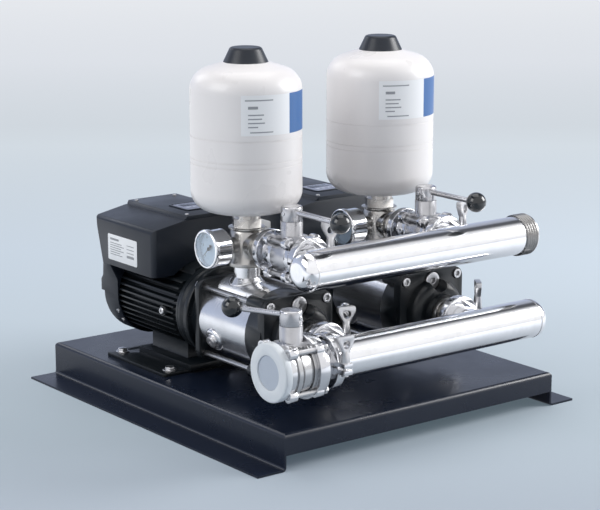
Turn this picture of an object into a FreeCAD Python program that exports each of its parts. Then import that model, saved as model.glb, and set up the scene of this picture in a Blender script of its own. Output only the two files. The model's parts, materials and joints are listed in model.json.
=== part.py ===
import FreeCAD, Part
import math
import os
from types import SimpleNamespace

import Sketcher

# Twin booster pump on one base: two horizontal pumps with drive-mounted motors,
# a suction manifold with an inlet valve, and a discharge manifold above it.
# The origin is on the floor, at the middle of the footprint. +X runs along the
# manifolds, +Y points to the motors and +Z is up. Lengths are millimetres.

SIZES = {
    # clearances
    "part_gap": 0.3,
    "running_gap": 0.05,
    # base
    "base_width": 500,
    "base_depth": 600,
    "base_height": 52,
    "base_sheet": 3,
    "base_flange": 45,
    "base_lip": 30,
    "bend_radius": 6,
    # layout of the two pumps
    "pump_spacing": 250,
    "axis_height": 140,
    # sole plates and their bolts
    "sole_width": 200,
    "sole_depth": 160,
    "sole_thickness": 5,
    "sole_corner": 6,
    "sole_start": 28,
    "foot_bolt_inset_x": 20,
    "foot_bolt_inset_y": 15,
    "foot_bolt_radius": 4,
    "foot_bolt_head": 7.5,
    "foot_bolt_head_height": 5.5,
    "foot_nut_height": 6.5,
    # pump end
    "bracket_front": 8,
    "bracket_flange": 10,
    "bracket_radius": 66,
    "bracket_waist": 61,
    "bracket_rib": 70,
    "sleeve_length": 116,
    "sleeve_radius": 61,
    "sleeve_wall": 2,
    "head_depth": 44,
    "head_half_width": 61,
    "head_corner": 16,
    "head_plate": 15,
    "head_rim": 2,
    "head_lug": 10,
    "dome_radius": 49,
    "dome_depth": 22,
    "dome_round": 14,
    "neck_radius": 30,
    "neck_length": 32,
    "suction_port": 17,
    "chamber_radius": 46,
    "chamber_depth": 22,
    "rod_offset": 50,
    "rod_radius": 4,
    "rod_head_radius": 7,
    "rod_head_length": 7,
    "rod_counterbore": 5,
    "rod_nut_length": 6,
    "plug_height": 46,
    "plug_radius": 13,
    "plug_length": 6,
    "plug_thread": 8,
    "plug_socket": 5,
    "plug_recess": 3,
    "drain_setback": 40,
    "drain_angle": 22,
    "drain_boss_radius": 11,
    "drain_boss_length": 5,
    "drain_thread": 6,
    "drain_head_radius": 8.5,
    "drain_head_length": 3,
    # pump stages and shaft
    "stage_pitch": 36,
    "stage_start": 10,
    "diffuser_wall": 3,
    "diffuser_eye": 16,
    "impeller_radius": 45,
    "impeller_disc": 3,
    "impeller_width": 16,
    "impeller_setback": 8,
    "impeller_hub": 14,
    "impeller_hub_length": 24,
    "impeller_eye": 20,
    "vane_thickness": 2.5,
    "shaft_radius": 9,
    "shaft_nut_radius": 13,
    "shaft_nut_length": 8,
    "seal_radius": 16,
    "seal_length": 14,
    "bearing_radius": 17,
    "bearing_width": 10,
    "rotor_radius": 33.5,
    "rotor_length": 100,
    "rotor_start": 75,
    # motor
    "motor_front": 40,
    "motor_length": 168,
    "housing_radius": 58,
    "housing_wall": 5,
    "housing_end_wall": 12,
    "housing_flange": 6,
    "fin_tip_radius": 67,
    "fin_thickness": 2.4,
    "fin_pitch": 9,
    "fin_start": 52,
    "stator_bore": 34,
    "stator_length": 110,
    "stator_start": 70,
    "winding_length": 12,
    "winding_wall": 4,
    "top_pad_width": 52,
    "foot_width": 116,
    "foot_depth": 140,
    "foot_start": 20,
    "foot_thickness": 8,
    "pedestal_width": 76,
    "pedestal_depth": 96,
    "pedestal_start": 56,
    "cowl_length": 47,
    "cowl_overlap": 8,
    "cowl_wall": 2.4,
    "cowl_round": 12,
    "cowl_slot_height": 4,
    "cowl_slot_pitch": 9,
    "cowl_slot_width": 84,
    "skirt_rear": 18,
    "skirt_flare": 24,
    "fan_radius": 58,
    "fan_start": 214,
    "fan_depth": 18,
    "fan_hub": 18,
    "fan_blade": 2,
    # drive on top of the motor
    "drive_front": 79,
    "drive_depth": 163,
    "drive_width": 166,
    "drive_bottom": 50,
    "drive_shoulder": 121,
    "drive_top": 131,
    "drive_shoulder_width": 58,
    "drive_round": 9,
    "drive_rear_slant": 23,
    "drive_wall": 3,
    "drive_floor": 73,
    "lid_left": 25,
    "lid_right": 70,
    "lid_height": 6,
    "lid_bevel": 5,
    "lid_round": 6,
    "keypad_left": 7,
    "keypad_width": 50,
    "keypad_depth": 44,
    "keypad_start": 117,
    "keypad_height": 1.2,
    "board_width": 130,
    "board_depth": 110,
    "board_thickness": 1.6,
    "board_post": 6,
    # riser, cross and tank
    "riser_setback": 44,
    "riser_height": 83,
    "riser_radius": 20,
    "riser_wall": 3,
    "riser_foot": 27,
    "riser_foot_height": 10,
    "cross_height": 55,
    "cross_centre": 32,
    "cross_radius": 24.5,
    "cross_ring": 27,
    "cross_ring_height": 5,
    "cross_bore": 15,
    "cross_arm_reach": 35,
    "cross_arm_radius": 19,
    "gauge_arm_reach": 30,
    "gauge_arm_radius": 12,
    "nipple_height": 27,
    "nipple_hex": 23,
    "nipple_hex_height": 13,
    "nipple_collar": 20,
    "nipple_bore": 9,
    "tank_radius": 81,
    "tank_height": 215,
    "tank_wall": 2,
    "tank_bottom_round": 30,
    "tank_shoulder_round": 34,
    "tank_shoulder_drop": 15,
    "seam_height": 79.5,
    "seam_pitch": 7.5,
    "upper_seam_height": 111,
    "seam_depth": 0.8,
    "seam_width": 1.6,
    "bladder_gap": 6,
    "bladder_height": 150,
    "bladder_wall": 2,
    "bladder_round": 28,
    "cap_height": 21,
    "cap_base": 32.5,
    "cap_top": 22.5,
    "cap_round": 5,
    "cap_wall": 2.5,
    # gauge
    "gauge_nipple": 8,
    "gauge_nipple_length": 6,
    "gauge_back": 18,
    "gauge_radius": 27,
    "gauge_depth": 38,
    "bezel_radius": 28.5,
    "bezel_depth": 7,
    "gauge_window": 24.7,
    "gauge_rim": 3,
    "dial_recess": 11,
    "dial_thickness": 1,
    "lens_recess": 3.5,
    "lens_thickness": 2,
    "needle_length": 18,
    "needle_tail": 8,
    "needle_width": 2.4,
    "needle_thickness": 0.8,
    "needle_lift": 2.5,
    "needle_hub": 2.6,
    "spindle_radius": 1.2,
    "spindle_length": 10,
    # pipes and clamps
    "pipe_radius": 28.5,
    "pipe_wall": 2,
    "branch_radius": 20,
    "suction_nipple_length": 28,
    "nipple_flange": 27,
    "nipple_flange_length": 8,
    "suction_branch_length": 63,
    "discharge_branch_length": 52,
    "branch_ferrule": 25.3,
    "inlet_ferrule": 32,
    "ferrule_length": 4,
    "clamp_width": 14,
    "branch_clamp": 34,
    "inlet_clamp": 40,
    "clamp_split": 4,
    "ear_length": 12,
    "ear_thickness": 6,
    "clamp_bolt_radius": 3,
    "clamp_bolt_inset": 8,
    "clamp_bolt_length": 34,
    "nut_neck_radius": 5,
    "branch_nut_neck": 22,
    "inlet_nut_neck": 16,
    "wing_span": 26,
    "wing_height": 23,
    "wing_thickness": 8,
    "wing_eye": 6,
    "suction_left_overhang": 50,
    "suction_right_overhang": 100,
    "discharge_left_overhang": 61,
    "discharge_right_overhang": 117,
    "outlet_stub_length": 24,
    "outlet_stub_radius": 29.8,
    "end_round": 17,
    # ball valves
    "discharge_valve_back": 73,
    "discharge_valve_front": 40,
    "inlet_valve_back": 28,
    "inlet_valve_front": 57,
    "valve_neck_radius": 16,
    "stem_radius": 5,
    "hub_radius": 15.5,
    "hub_height": 21,
    "lever_radius": 4,
    "lever_drop": 8,
    "knob_radius": 14.5,
    "knob_socket_depth": 9,
    "discharge_lever_reach": 110,
    "inlet_lever_reach": 92,
    "inlet_lever_swing": 23,
    "discharge_valve_body": 27,
    "discharge_valve_half": 16,
    "discharge_valve_bonnet": 51,
    "discharge_valve_flange": 27,
    "discharge_lobe_circle": 33,
    "discharge_lobe_radius": 9,
    "discharge_flange_length": 9,
    "discharge_valve_ball": 18,
    "discharge_valve_bore": 12,
    "discharge_ring_radius": 31,
    "discharge_ring_place": 43,
    "discharge_ring_length": 10,
    "inlet_valve_body": 34,
    "inlet_valve_half": 16,
    "inlet_valve_bonnet": 60,
    "inlet_valve_flange": 38,
    "inlet_lobe_circle": 41,
    "inlet_lobe_radius": 8,
    "inlet_flange_length": 12,
    "inlet_valve_ball": 25,
    "inlet_valve_bore": 18,
    "inlet_ring_radius": 45,
    "inlet_ring_length": 16,
    "valve_bolt_radius": 3.5,
    "valve_bolt_head": 6,
    "valve_bolt_head_length": 5,
    # inlet cover
    "cover_radius": 41,
    "cover_depth": 11,
    "cover_plug_radius": 17,
    "cover_plug_length": 2,
    "cover_dish_radius": 24,
    "cover_dish_depth": 3,
}

X_AXIS = FreeCAD.Vector(1, 0, 0)
Y_AXIS = FreeCAD.Vector(0, 1, 0)
Z_AXIS = FreeCAD.Vector(0, 0, 1)
UP = FreeCAD.Rotation()
FORWARD = FreeCAD.Rotation(X_AXIS, 90)
BACK = FreeCAD.Rotation(X_AXIS, -90)
RIGHT = FreeCAD.Rotation(Y_AXIS, 90)
LEFT = FreeCAD.Rotation(Y_AXIS, -90)
ALONG_X = FreeCAD.Rotation(Y_AXIS, Z_AXIS, X_AXIS, "ZXY")
OVERCUT = 1.0
COS_45 = math.cos(math.radians(45))
SIDES = {"left": -1, "right": 1}

doc = FreeCAD.newDocument("BoosterPump")
sheet = doc.addObject("Spreadsheet::Sheet", "Sizes")
pieces = {}


class Size:
    """A length in millimetres together with the sheet formula that gives it."""

    def __init__(self, value, formula):
        self.value = float(value)
        self.formula = formula

    def __add__(self, other):
        return combine(self, "+", other)

    def __radd__(self, other):
        return combine(other, "+", self)

    def __sub__(self, other):
        return combine(self, "-", other)

    def __rsub__(self, other):
        return combine(other, "-", self)

    def __mul__(self, other):
        return combine(self, "*", other)

    def __rmul__(self, other):
        return combine(other, "*", self)

    def __truediv__(self, other):
        return combine(self, "/", other)

    def __neg__(self):
        return combine(0, "-", self)


def size_of(thing):
    """Take a Size as it is and a bare number as a Size of that value."""
    return thing if isinstance(thing, Size) else Size(thing, repr(float(thing)))


def combine(left, sign, right):
    """Work out a sum or product of sizes, as a number and as a formula."""
    left, right = size_of(left), size_of(right)
    values = {
        "+": left.value + right.value,
        "-": left.value - right.value,
        "*": left.value * right.value,
        "/": left.value / right.value if right.value else 0.0,
    }
    return Size(values[sign], f"({left.formula} {sign} {right.formula})")


def fill_sheet():
    """Write every driving size to its own named cell."""
    for row, (name, value) in enumerate(SIZES.items(), start=1):
        sheet.set(f"A{row}", name)
        sheet.set(f"B{row}", str(value))
        sheet.setAlias(f"B{row}", name)
    doc.recompute()


s = SimpleNamespace(**{name: Size(value, f"Sizes.{name}") for name, value in SIZES.items()})


# Features whose sizes follow the sheet

def bind(feature, prop, size):
    """Give a property its value and the formula that keeps it."""
    size = size_of(size)
    setattr(feature, prop, size.value)
    feature.setExpression(prop, size.formula)


def place(feature, at, turn=UP, angle=None):
    """Put a feature at a point whose coordinates follow the sheet."""
    at = [size_of(c) for c in at]
    feature.Placement = FreeCAD.Placement(FreeCAD.Vector(*[c.value for c in at]), turn)
    for letter, size in zip("xyz", at):
        feature.setExpression(f".Placement.Base.{letter}", size.formula)
    if angle is not None:
        feature.setExpression(".Placement.Rotation.Angle", size_of(angle).formula)
    return feature


def block(low, extent):
    """A box from its low corner."""
    feature = doc.addObject("Part::Box", "Block")
    for prop, size in zip(("Length", "Width", "Height"), extent):
        bind(feature, prop, size)
    return place(feature, low)


def rod(start, turn, radius, length):
    """A round bar from its start point, along the direction that the turn gives."""
    feature = doc.addObject("Part::Cylinder", "Rod")
    bind(feature, "Radius", radius)
    bind(feature, "Height", length)
    return place(feature, start, turn)


def cone(start, turn, first_radius, last_radius, length):
    """A cone from its start point."""
    feature = doc.addObject("Part::Cone", "Cone")
    bind(feature, "Radius1", first_radius)
    bind(feature, "Radius2", last_radius)
    bind(feature, "Height", length)
    return place(feature, start, turn)


def sphere(centre, radius):
    """A ball about its centre."""
    feature = doc.addObject("Part::Sphere", "Ball")
    bind(feature, "Radius", radius)
    return place(feature, centre)


def hexagon(start, turn, corner_radius, length):
    """A six-sided bar from its start point."""
    feature = doc.addObject("Part::Prism", "Hexagon")
    feature.Polygon = 6
    bind(feature, "Circumradius", corner_radius)
    bind(feature, "Height", length)
    return place(feature, start, turn)


def combined(kind, features):
    """A boolean or compound of several features."""
    feature = doc.addObject(kind, kind.replace("Part::", ""))
    if kind == "Part::Compound":
        feature.Links = list(features)
    else:
        feature.Shapes = list(features)
    return feature


def join(*features):
    return combined("Part::MultiFuse", features)


def common(*features):
    return combined("Part::MultiCommon", features)


def cut(base, *tools):
    feature = doc.addObject("Part::Cut", "Cut")
    feature.Base = base
    feature.Tool = tools[0] if len(tools) == 1 else join(*tools)
    return feature


def moved(feature, at, turn=UP, angle=None):
    """Carry a finished shape, with its own place inside, to another place."""
    return place(combined("Part::Compound", [feature]), at, turn, angle)


def piece(name, *features):
    """Name a finished sub-part; several features become one group of solids."""
    feature = features[0] if len(features) == 1 else combined("Part::Compound", features)
    feature.Label = name
    pieces[name] = feature
    return feature


# Outlines drawn in sketches, with corners tied to the sheet

def corner_of(x, y, radius=None):
    return size_of(x), size_of(y), radius if radius is None else size_of(radius)


def tie(sketch, kind, geometry, position, size):
    """Hold one coordinate of a sketch point to its formula."""
    index = sketch.addConstraint(Sketcher.Constraint(kind, geometry, position, size.value))
    sketch.setExpression(f"Constraints[{index}]", size.formula)


def tangent_span(before, here, after, radius):
    """Find where a round corner leaves its two straight sides, and its centre."""
    to_before = (before - here).normalize()
    to_after = (after - here).normalize()
    half_angle = to_before.getAngle(to_after) / 2
    reach = radius / math.tan(half_angle)
    middle = (to_before + to_after).normalize()
    centre = here + middle * (radius / math.sin(half_angle))
    turns_left = to_before.cross(to_after).z < 0
    return here + to_before * reach, here + to_after * reach, centre, turns_left


def draw_outline(sketch, outline):
    """Draw a closed outline of straight sides with sharp or round corners."""
    corners = [corner_of(*corner) for corner in outline]
    count = len(corners)
    spots = [FreeCAD.Vector(x.value, y.value, 0) for x, y, _ in corners]
    spans = []
    for i, (_, _, radius) in enumerate(corners):
        if radius is None:
            spans.append((spots[i], spots[i], None, None))
        else:
            spans.append(tangent_span(spots[i - 1], spots[i], spots[(i + 1) % count], radius.value))
    sides = []
    for i in range(count):
        side = Part.LineSegment(spans[i][1], spans[(i + 1) % count][0])
        sides.append(sketch.addGeometry(side))
    for i, (x, y, radius) in enumerate(corners):
        side_in, side_out = sides[i - 1], sides[i]
        if radius is None:
            sketch.addConstraint(Sketcher.Constraint("Coincident", side_in, 2, side_out, 1))
            tie(sketch, "DistanceX", side_out, 1, x)
            tie(sketch, "DistanceY", side_out, 1, y)
            continue
        mark = sketch.addGeometry(Part.Point(spots[i]), True)
        tie(sketch, "DistanceX", mark, 1, x)
        tie(sketch, "DistanceY", mark, 1, y)
        sketch.addConstraint(Sketcher.Constraint("PointOnObject", mark, 1, side_in))
        sketch.addConstraint(Sketcher.Constraint("PointOnObject", mark, 1, side_out))
        arrive, leave, centre, turns_left = spans[i]
        first, last = (arrive, leave) if turns_left else (leave, arrive)
        circle = Part.Circle(centre, Z_AXIS, radius.value)
        angles = [math.atan2(end.y - centre.y, end.x - centre.x) for end in (first, last)]
        arc = sketch.addGeometry(Part.ArcOfCircle(circle, *angles))
        arc_in, arc_out = (1, 2) if turns_left else (2, 1)
        sketch.addConstraint(Sketcher.Constraint("Tangent", side_in, 2, arc, arc_in))
        sketch.addConstraint(Sketcher.Constraint("Tangent", arc, arc_out, side_out, 1))
        tie_radius = sketch.addConstraint(Sketcher.Constraint("Radius", arc, radius.value))
        sketch.setExpression(f"Constraints[{tie_radius}]", radius.formula)


def sketched_body(plane_role, outline):
    """Start a body with one sketch on one of its own planes."""
    body = doc.addObject("PartDesign::Body", "Body")
    sketch = body.newObject("Sketcher::SketchObject", "Outline")
    plane = next(item for item in body.Origin.OriginFeatures if item.Role == plane_role)
    sketch.AttachmentSupport = (plane, [""])
    sketch.MapMode = "FlatFace"
    draw_outline(sketch, outline)
    return body, sketch


def turned(outline, at=(0, 0, 0), turn=UP, angle=None):
    """A lathe shape from (radius, along) corners, along the direction of the turn."""
    body, sketch = sketched_body("XZ_Plane", outline)
    revolution = body.newObject("PartDesign::Revolution", "Revolution")
    revolution.Profile = sketch
    revolution.ReferenceAxis = (sketch, ["V_Axis"])
    revolution.Angle = 360
    return place(body, at, turn, angle)


def padded(outline, length, at=(0, 0, 0), turn=UP):
    """A plate or bar from an outline, thickened along the direction of the turn."""
    body, sketch = sketched_body("XY_Plane", outline)
    pad = body.newObject("PartDesign::Pad", "Pad")
    pad.Profile = sketch
    bind(pad, "Length", length)
    return place(body, at, turn)


def rounded_rectangle(x_low, x_high, y_low, y_high, radius):
    return [
        (x_low, y_low, radius),
        (x_high, y_low, radius),
        (x_high, y_high, radius),
        (x_low, y_high, radius),
    ]


def rounded_square(half_width, radius):
    return rounded_rectangle(-half_width, half_width, -half_width, half_width, radius)


def ring(inner, outer, start, length, turn, at=(0, 0, 0)):
    """A plain ring between two radii."""
    end = start + length
    return turned([(inner, start), (outer, start), (outer, end), (inner, end)], at, turn)


def paddle(span, thickness, start, depth, degrees):
    """A flat blade right across the Y axis, turned about it."""
    turn = FreeCAD.Rotation(Y_AXIS, degrees)
    cosine, sine = math.cos(math.radians(degrees)), math.sin(math.radians(degrees))
    half_span, half_thickness = size_of(span) / 2, size_of(thickness) / 2
    feature = doc.addObject("Part::Box", "Paddle")
    bind(feature, "Length", span)
    bind(feature, "Width", depth)
    bind(feature, "Height", thickness)
    low_x = -(half_span * cosine) - half_thickness * sine
    low_z = half_span * sine - half_thickness * cosine
    return place(feature, (low_x, start, low_z), turn)


# Places in the whole machine

head_back = s.bracket_front + s.sleeve_length
head_front = head_back + s.head_depth
neck_end = head_front + s.neck_length
suction_joint = neck_end + s.suction_nipple_length
suction_reach = suction_joint + s.suction_branch_length
valve_reach = s.riser_setback + s.cross_arm_reach + s.discharge_valve_back
discharge_joint = valve_reach + s.discharge_valve_front
discharge_reach = discharge_joint + s.discharge_branch_length
clamp_reach = s.inlet_clamp + s.ear_length
front_overhang = suction_reach + clamp_reach - s.base_depth / 2
datum_y = front_overhang / 2
discharge_height = s.axis_height + s.riser_height + s.cross_centre
suction_left = s.pump_spacing / 2 + s.suction_left_overhang
motor_back = s.motor_front + s.motor_length
cowl_back = motor_back - s.cowl_overlap + s.cowl_length
cowl_inner = s.fin_tip_radius + s.part_gap
foot_top = s.base_height + s.sole_thickness - s.axis_height
tank_bottom = s.cross_height + s.nipple_height


def pump_x(side):
    return s.pump_spacing / 2 * SIDES[side]


def at_pump(feature, side):
    """Move a feature from the pump's own frame, on its shaft axis, to its place."""
    return moved(feature, (pump_x(side), datum_y, s.axis_height))


def at_riser(feature, side, lift=0):
    """Move a feature from the riser's own frame, at the riser's top, to its place."""
    height = s.axis_height + s.riser_height + lift
    return moved(feature, (pump_x(side), datum_y - s.riser_setback, height))


def both(builder, mover):
    """Build the same piece for the two pumps."""
    return [mover(builder(), side) for side in SIDES]


# Base

def foot_bolt_spots():
    """Places of the four bolts of one sole plate, in the pump's own frame."""
    across = s.sole_width / 2 - s.foot_bolt_inset_x
    first = s.sole_start + s.foot_bolt_inset_y
    last = s.sole_start + s.sole_depth - s.foot_bolt_inset_y
    return [(across * sign, along) for sign in (-1, 1) for along in (first, last)]


def base_frame():
    """The folded sheet base: top, side walls, foot flanges and end lips."""
    half = s.base_width / 2
    far = half + s.base_flange
    sheet_t, high = s.base_sheet, s.base_height
    inner_bend = s.bend_radius - sheet_t
    hat = [
        (-far, 0),
        (sheet_t - half, 0, s.bend_radius),
        (sheet_t - half, high - sheet_t, inner_bend),
        (half - sheet_t, high - sheet_t, inner_bend),
        (half - sheet_t, 0, s.bend_radius),
        (far, 0),
        (far, sheet_t),
        (half, sheet_t, inner_bend),
        (half, high, s.bend_radius),
        (-half, high, s.bend_radius),
        (-half, sheet_t, inner_bend),
        (-far, sheet_t),
    ]
    front = datum_y - s.base_depth / 2
    back = datum_y + s.base_depth / 2
    channel = padded(hat, s.base_depth, (0, back, 0), FORWARD)
    lip = [
        (0, high - s.base_lip),
        (sheet_t, high - s.base_lip),
        (sheet_t, high - sheet_t, inner_bend),
        (s.bend_radius * 2, high - sheet_t),
        (s.bend_radius * 2, high),
        (0, high),
    ]
    mirrored_lip = [(-corner[0], *corner[1:]) for corner in lip[::-1]]
    lip_width = s.base_width - sheet_t * 2
    front_lip = padded(lip, lip_width, (sheet_t - half, front, 0), ALONG_X)
    back_lip = padded(mirrored_lip, lip_width, (sheet_t - half, back, 0), ALONG_X)
    front_view = [(-half, 0), (half, 0), (half, high, s.bend_radius), (-half, high, s.bend_radius)]
    lips = common(join(front_lip, back_lip), padded(front_view, s.base_depth, (0, back, 0), FORWARD))
    side_view = [(front, 0), (back, 0), (back, high, s.bend_radius), (front, high, s.bend_radius)]
    folded = common(join(channel, lips), padded(side_view, far * 2, (-far, 0, 0), ALONG_X))
    holes = []
    for side in SIDES:
        for across, along in foot_bolt_spots():
            start = (pump_x(side) + across, datum_y + along, high - s.bend_radius)
            holes.append(rod(start, UP, s.foot_bolt_radius + s.part_gap, s.bend_radius + OVERCUT))
    piece("base_frame", cut(folded, *holes))


def sole_plate():
    half = s.sole_width / 2
    outline = rounded_rectangle(-half, half, s.sole_start, s.sole_start + s.sole_depth, s.sole_corner)
    bottom = s.base_height - s.axis_height
    plate = padded(outline, s.sole_thickness, (0, 0, bottom))
    holes = [
        rod((x, y, bottom - OVERCUT), UP, s.foot_bolt_radius + s.part_gap, s.sole_thickness + OVERCUT * 2)
        for x, y in foot_bolt_spots()
    ]
    return cut(plate, *holes)


def foot_bolts(side):
    """Hexagon bolts through sole plate and base, each with its nut below."""
    solids = []
    nut_top = s.base_height - s.base_sheet - s.axis_height
    nut_bottom = nut_top - s.foot_nut_height
    for x, y in foot_bolt_spots():
        shank_length = foot_top - nut_bottom
        shank = rod((x, y, nut_bottom), UP, s.foot_bolt_radius, shank_length)
        head = hexagon((x, y, foot_top), UP, s.foot_bolt_head, s.foot_bolt_head_height)
        solids.append(at_pump(join(shank, head), side))
        nut = hexagon((x, y, nut_bottom), UP, s.foot_bolt_head, s.foot_nut_height)
        bore_start = (x, y, nut_bottom - OVERCUT)
        bore = rod(bore_start, UP, s.foot_bolt_radius + s.running_gap, s.foot_nut_height + OVERCUT * 2)
        solids.append(at_pump(cut(nut, bore), side))
    return solids


# Pump end, in the pump's own frame: the shaft along Y, the suction side at -Y

def rod_spots():
    return [(s.rod_offset * x, s.rod_offset * z) for x in (-1, 1) for z in (-1, 1)]


def motor_bracket():
    """The casting between pump and motor, with the front bearing and seal seats."""
    front = -s.bracket_front
    back = s.motor_front
    flange_back = front + s.bracket_flange
    flange = padded(rounded_square(s.head_half_width, s.head_corner), s.bracket_flange,
                    (0, flange_back, 0), FORWARD)
    seal_seat = s.seal_radius + s.part_gap
    bearing_seat = s.bearing_radius + s.part_gap
    shaft_way = s.shaft_radius + s.part_gap * 10
    rib_front = flange_back + s.bracket_flange
    rib_back = rib_front + s.bracket_flange
    casting = turned([
        (seal_seat, front),
        (s.bracket_waist, front),
        (s.bracket_waist, rib_front),
        (s.bracket_rib, rib_front, 2),
        (s.bracket_rib, rib_back, 2),
        (s.bracket_waist, rib_back + 2),
        (s.bracket_radius, back - s.housing_flange),
        (s.bracket_radius, back),
        (bearing_seat, back),
        (bearing_seat, back - s.bearing_width),
        (shaft_way, back - s.bearing_width),
        (shaft_way, front + s.seal_length),
        (seal_seat, front + s.seal_length),
    ], turn=BACK)
    middle = rod((0, front - OVERCUT, 0), BACK, seal_seat, s.bracket_flange + OVERCUT * 2)
    holes = [
        rod((x, front - OVERCUT, z), BACK, s.rod_radius + s.part_gap, s.bracket_flange + OVERCUT * 2)
        for x, z in rod_spots()
    ]
    return join(cut(flange, middle, *holes), casting)


def drain_axis(start, radius, length):
    """A round bar along the drain plug's axis, down to the left of the sleeve."""
    outline = [(0, start), (radius, start), (radius, start + length), (0, start + length)]
    return drain_turned(outline)


def drain_turned(outline):
    turn = FreeCAD.Rotation(-Y_AXIS, (90 + s.drain_angle).value)
    return turned(outline, (0, -s.drain_setback, 0), turn, 90 + s.drain_angle)


def pump_sleeve():
    """The stainless barrel with its discharge riser and drain boss."""
    bore = s.sleeve_radius - s.sleeve_wall
    barrel = rod((0, -s.bracket_front, 0), FORWARD, s.sleeve_radius, s.sleeve_length)
    riser = rod((0, -s.riser_setback, 0), UP, s.riser_radius, s.riser_height)
    foot_start = s.sleeve_radius - s.riser_foot_height / 2
    foot = cone((0, -s.riser_setback, foot_start), UP, s.riser_foot, s.riser_radius, s.riser_foot_height)
    boss = drain_axis(bore, s.drain_boss_radius, s.sleeve_wall + s.drain_boss_length)
    hollow = rod((0, OVERCUT - s.bracket_front, 0), FORWARD, bore, s.sleeve_length + OVERCUT * 2)
    riser_bore = rod((0, -s.riser_setback, 0), UP, s.riser_radius - s.riser_wall, s.riser_height + OVERCUT)
    drain_start = bore - s.drain_boss_radius / 2
    drain_hole = drain_axis(drain_start, s.drain_thread + s.part_gap, s.drain_boss_radius + s.sleeve_wall * 2)
    return cut(join(barrel, riser, foot, boss), hollow, riser_bore, drain_hole)


def suction_head():
    """The cast front cover with its domed nose, neck and vent boss."""
    plate = padded(rounded_square(s.head_half_width, s.head_corner), s.head_plate,
                   (0, s.head_plate - head_front, 0), FORWARD)
    drum = rod((0, -head_back, 0), FORWARD, s.sleeve_radius + s.head_rim, s.head_depth - s.head_plate / 2)
    lugs = [rod((x, -head_back, z), FORWARD, s.head_lug, s.head_depth - s.head_plate / 2)
            for x, z in rod_spots()]
    dome_front = head_front + s.dome_depth
    nose = turned([
        (0, head_front - s.dome_depth),
        (s.dome_radius, head_front - s.dome_depth),
        (s.dome_radius, dome_front, s.dome_round),
        (s.neck_radius, dome_front),
        (s.neck_radius, neck_end),
        (0, neck_end),
    ], turn=FORWARD)
    chamber = turned([
        (0, head_back - OVERCUT),
        (s.chamber_radius, head_back - OVERCUT),
        (s.chamber_radius, head_back + s.chamber_depth),
        (s.suction_port, head_front + s.plug_thread),
        (s.suction_port, neck_end + OVERCUT),
        (0, neck_end + OVERCUT),
    ], turn=FORWARD)
    cuts = [chamber]
    cuts.append(rod((0, s.head_depth / 2 - head_front, s.plug_height), FORWARD,
                    s.plug_thread + s.part_gap, s.head_depth / 2))
    cuts.append(rod((0, s.plug_recess - head_front, s.plug_height), FORWARD,
                    s.plug_radius + OVERCUT, s.plug_recess + s.dome_depth + OVERCUT))
    for x, z in rod_spots():
        cuts.append(rod((x, OVERCUT - head_back, z), FORWARD, s.rod_radius + s.part_gap,
                        s.head_depth + OVERCUT * 2))
        cuts.append(rod((x, s.rod_counterbore - head_front, z), FORWARD, s.rod_head_radius + OVERCUT,
                        s.rod_counterbore + OVERCUT))
    return cut(join(plate, drum, nose, *lugs), *cuts)


def tie_rods(side):
    """Socket-head tie rods that draw the head against the bracket, with nuts."""
    solids = []
    head_seat = head_front - s.rod_counterbore
    nut_start = s.bracket_flange - s.bracket_front
    rod_end = nut_start + s.rod_nut_length
    for x, z in rod_spots():
        shank = rod((x, rod_end, z), FORWARD, s.rod_radius, head_seat + rod_end)
        head = rod((x, -head_seat, z), FORWARD, s.rod_head_radius, s.rod_head_length)
        socket_start = (x, s.rod_radius - head_seat - s.rod_head_length, z)
        socket = hexagon(socket_start, FORWARD, s.rod_radius, s.rod_radius + OVERCUT)
        solids.append(at_pump(cut(join(shank, head), socket), side))
        nut = hexagon((x, nut_start, z), BACK, s.rod_head_radius, s.rod_nut_length)
        bore = rod((x, nut_start - OVERCUT, z), BACK, s.rod_radius + s.running_gap,
                   s.rod_nut_length + OVERCUT * 2)
        solids.append(at_pump(cut(nut, bore), side))
    return solids


def vent_plug():
    seat = head_front - s.plug_recess
    plug = turned([
        (0, seat - s.plug_thread),
        (s.plug_thread, seat - s.plug_thread),
        (s.plug_thread, seat),
        (s.plug_radius, seat),
        (s.plug_radius, seat + s.plug_length, 1),
        (0, seat + s.plug_length),
    ], (0, 0, s.plug_height), FORWARD)
    socket = hexagon((0, -seat, s.plug_height), FORWARD, s.plug_socket, s.plug_length + OVERCUT)
    return cut(plug, socket)


def drain_plug():
    seat = s.sleeve_radius + s.drain_boss_length
    end = seat + s.drain_head_length
    plug = drain_turned([
        (0, seat - s.drain_thread),
        (s.drain_thread, seat - s.drain_thread),
        (s.drain_thread, seat),
        (s.drain_head_radius, seat),
        (s.drain_head_radius, end),
        (0, end),
    ])
    socket = drain_axis(seat, s.drain_thread / 2, s.drain_head_length + OVERCUT)
    return cut(plug, socket)


def stage_starts():
    return [s.stage_start + s.stage_pitch * i for i in range(3)]


def diffusers(side):
    """Stage bowls stacked inside the sleeve."""
    outer = s.sleeve_radius - s.sleeve_wall - s.part_gap
    solids = []
    for start in stage_starts():
        bowl = turned([
            (s.diffuser_eye, start),
            (outer, start),
            (outer, start + s.stage_pitch),
            (outer - s.diffuser_wall, start + s.stage_pitch),
            (outer - s.diffuser_wall, start + s.diffuser_wall),
            (s.diffuser_eye, start + s.diffuser_wall),
        ], turn=FORWARD)
        solids.append(at_pump(bowl, side))
    return solids


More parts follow.
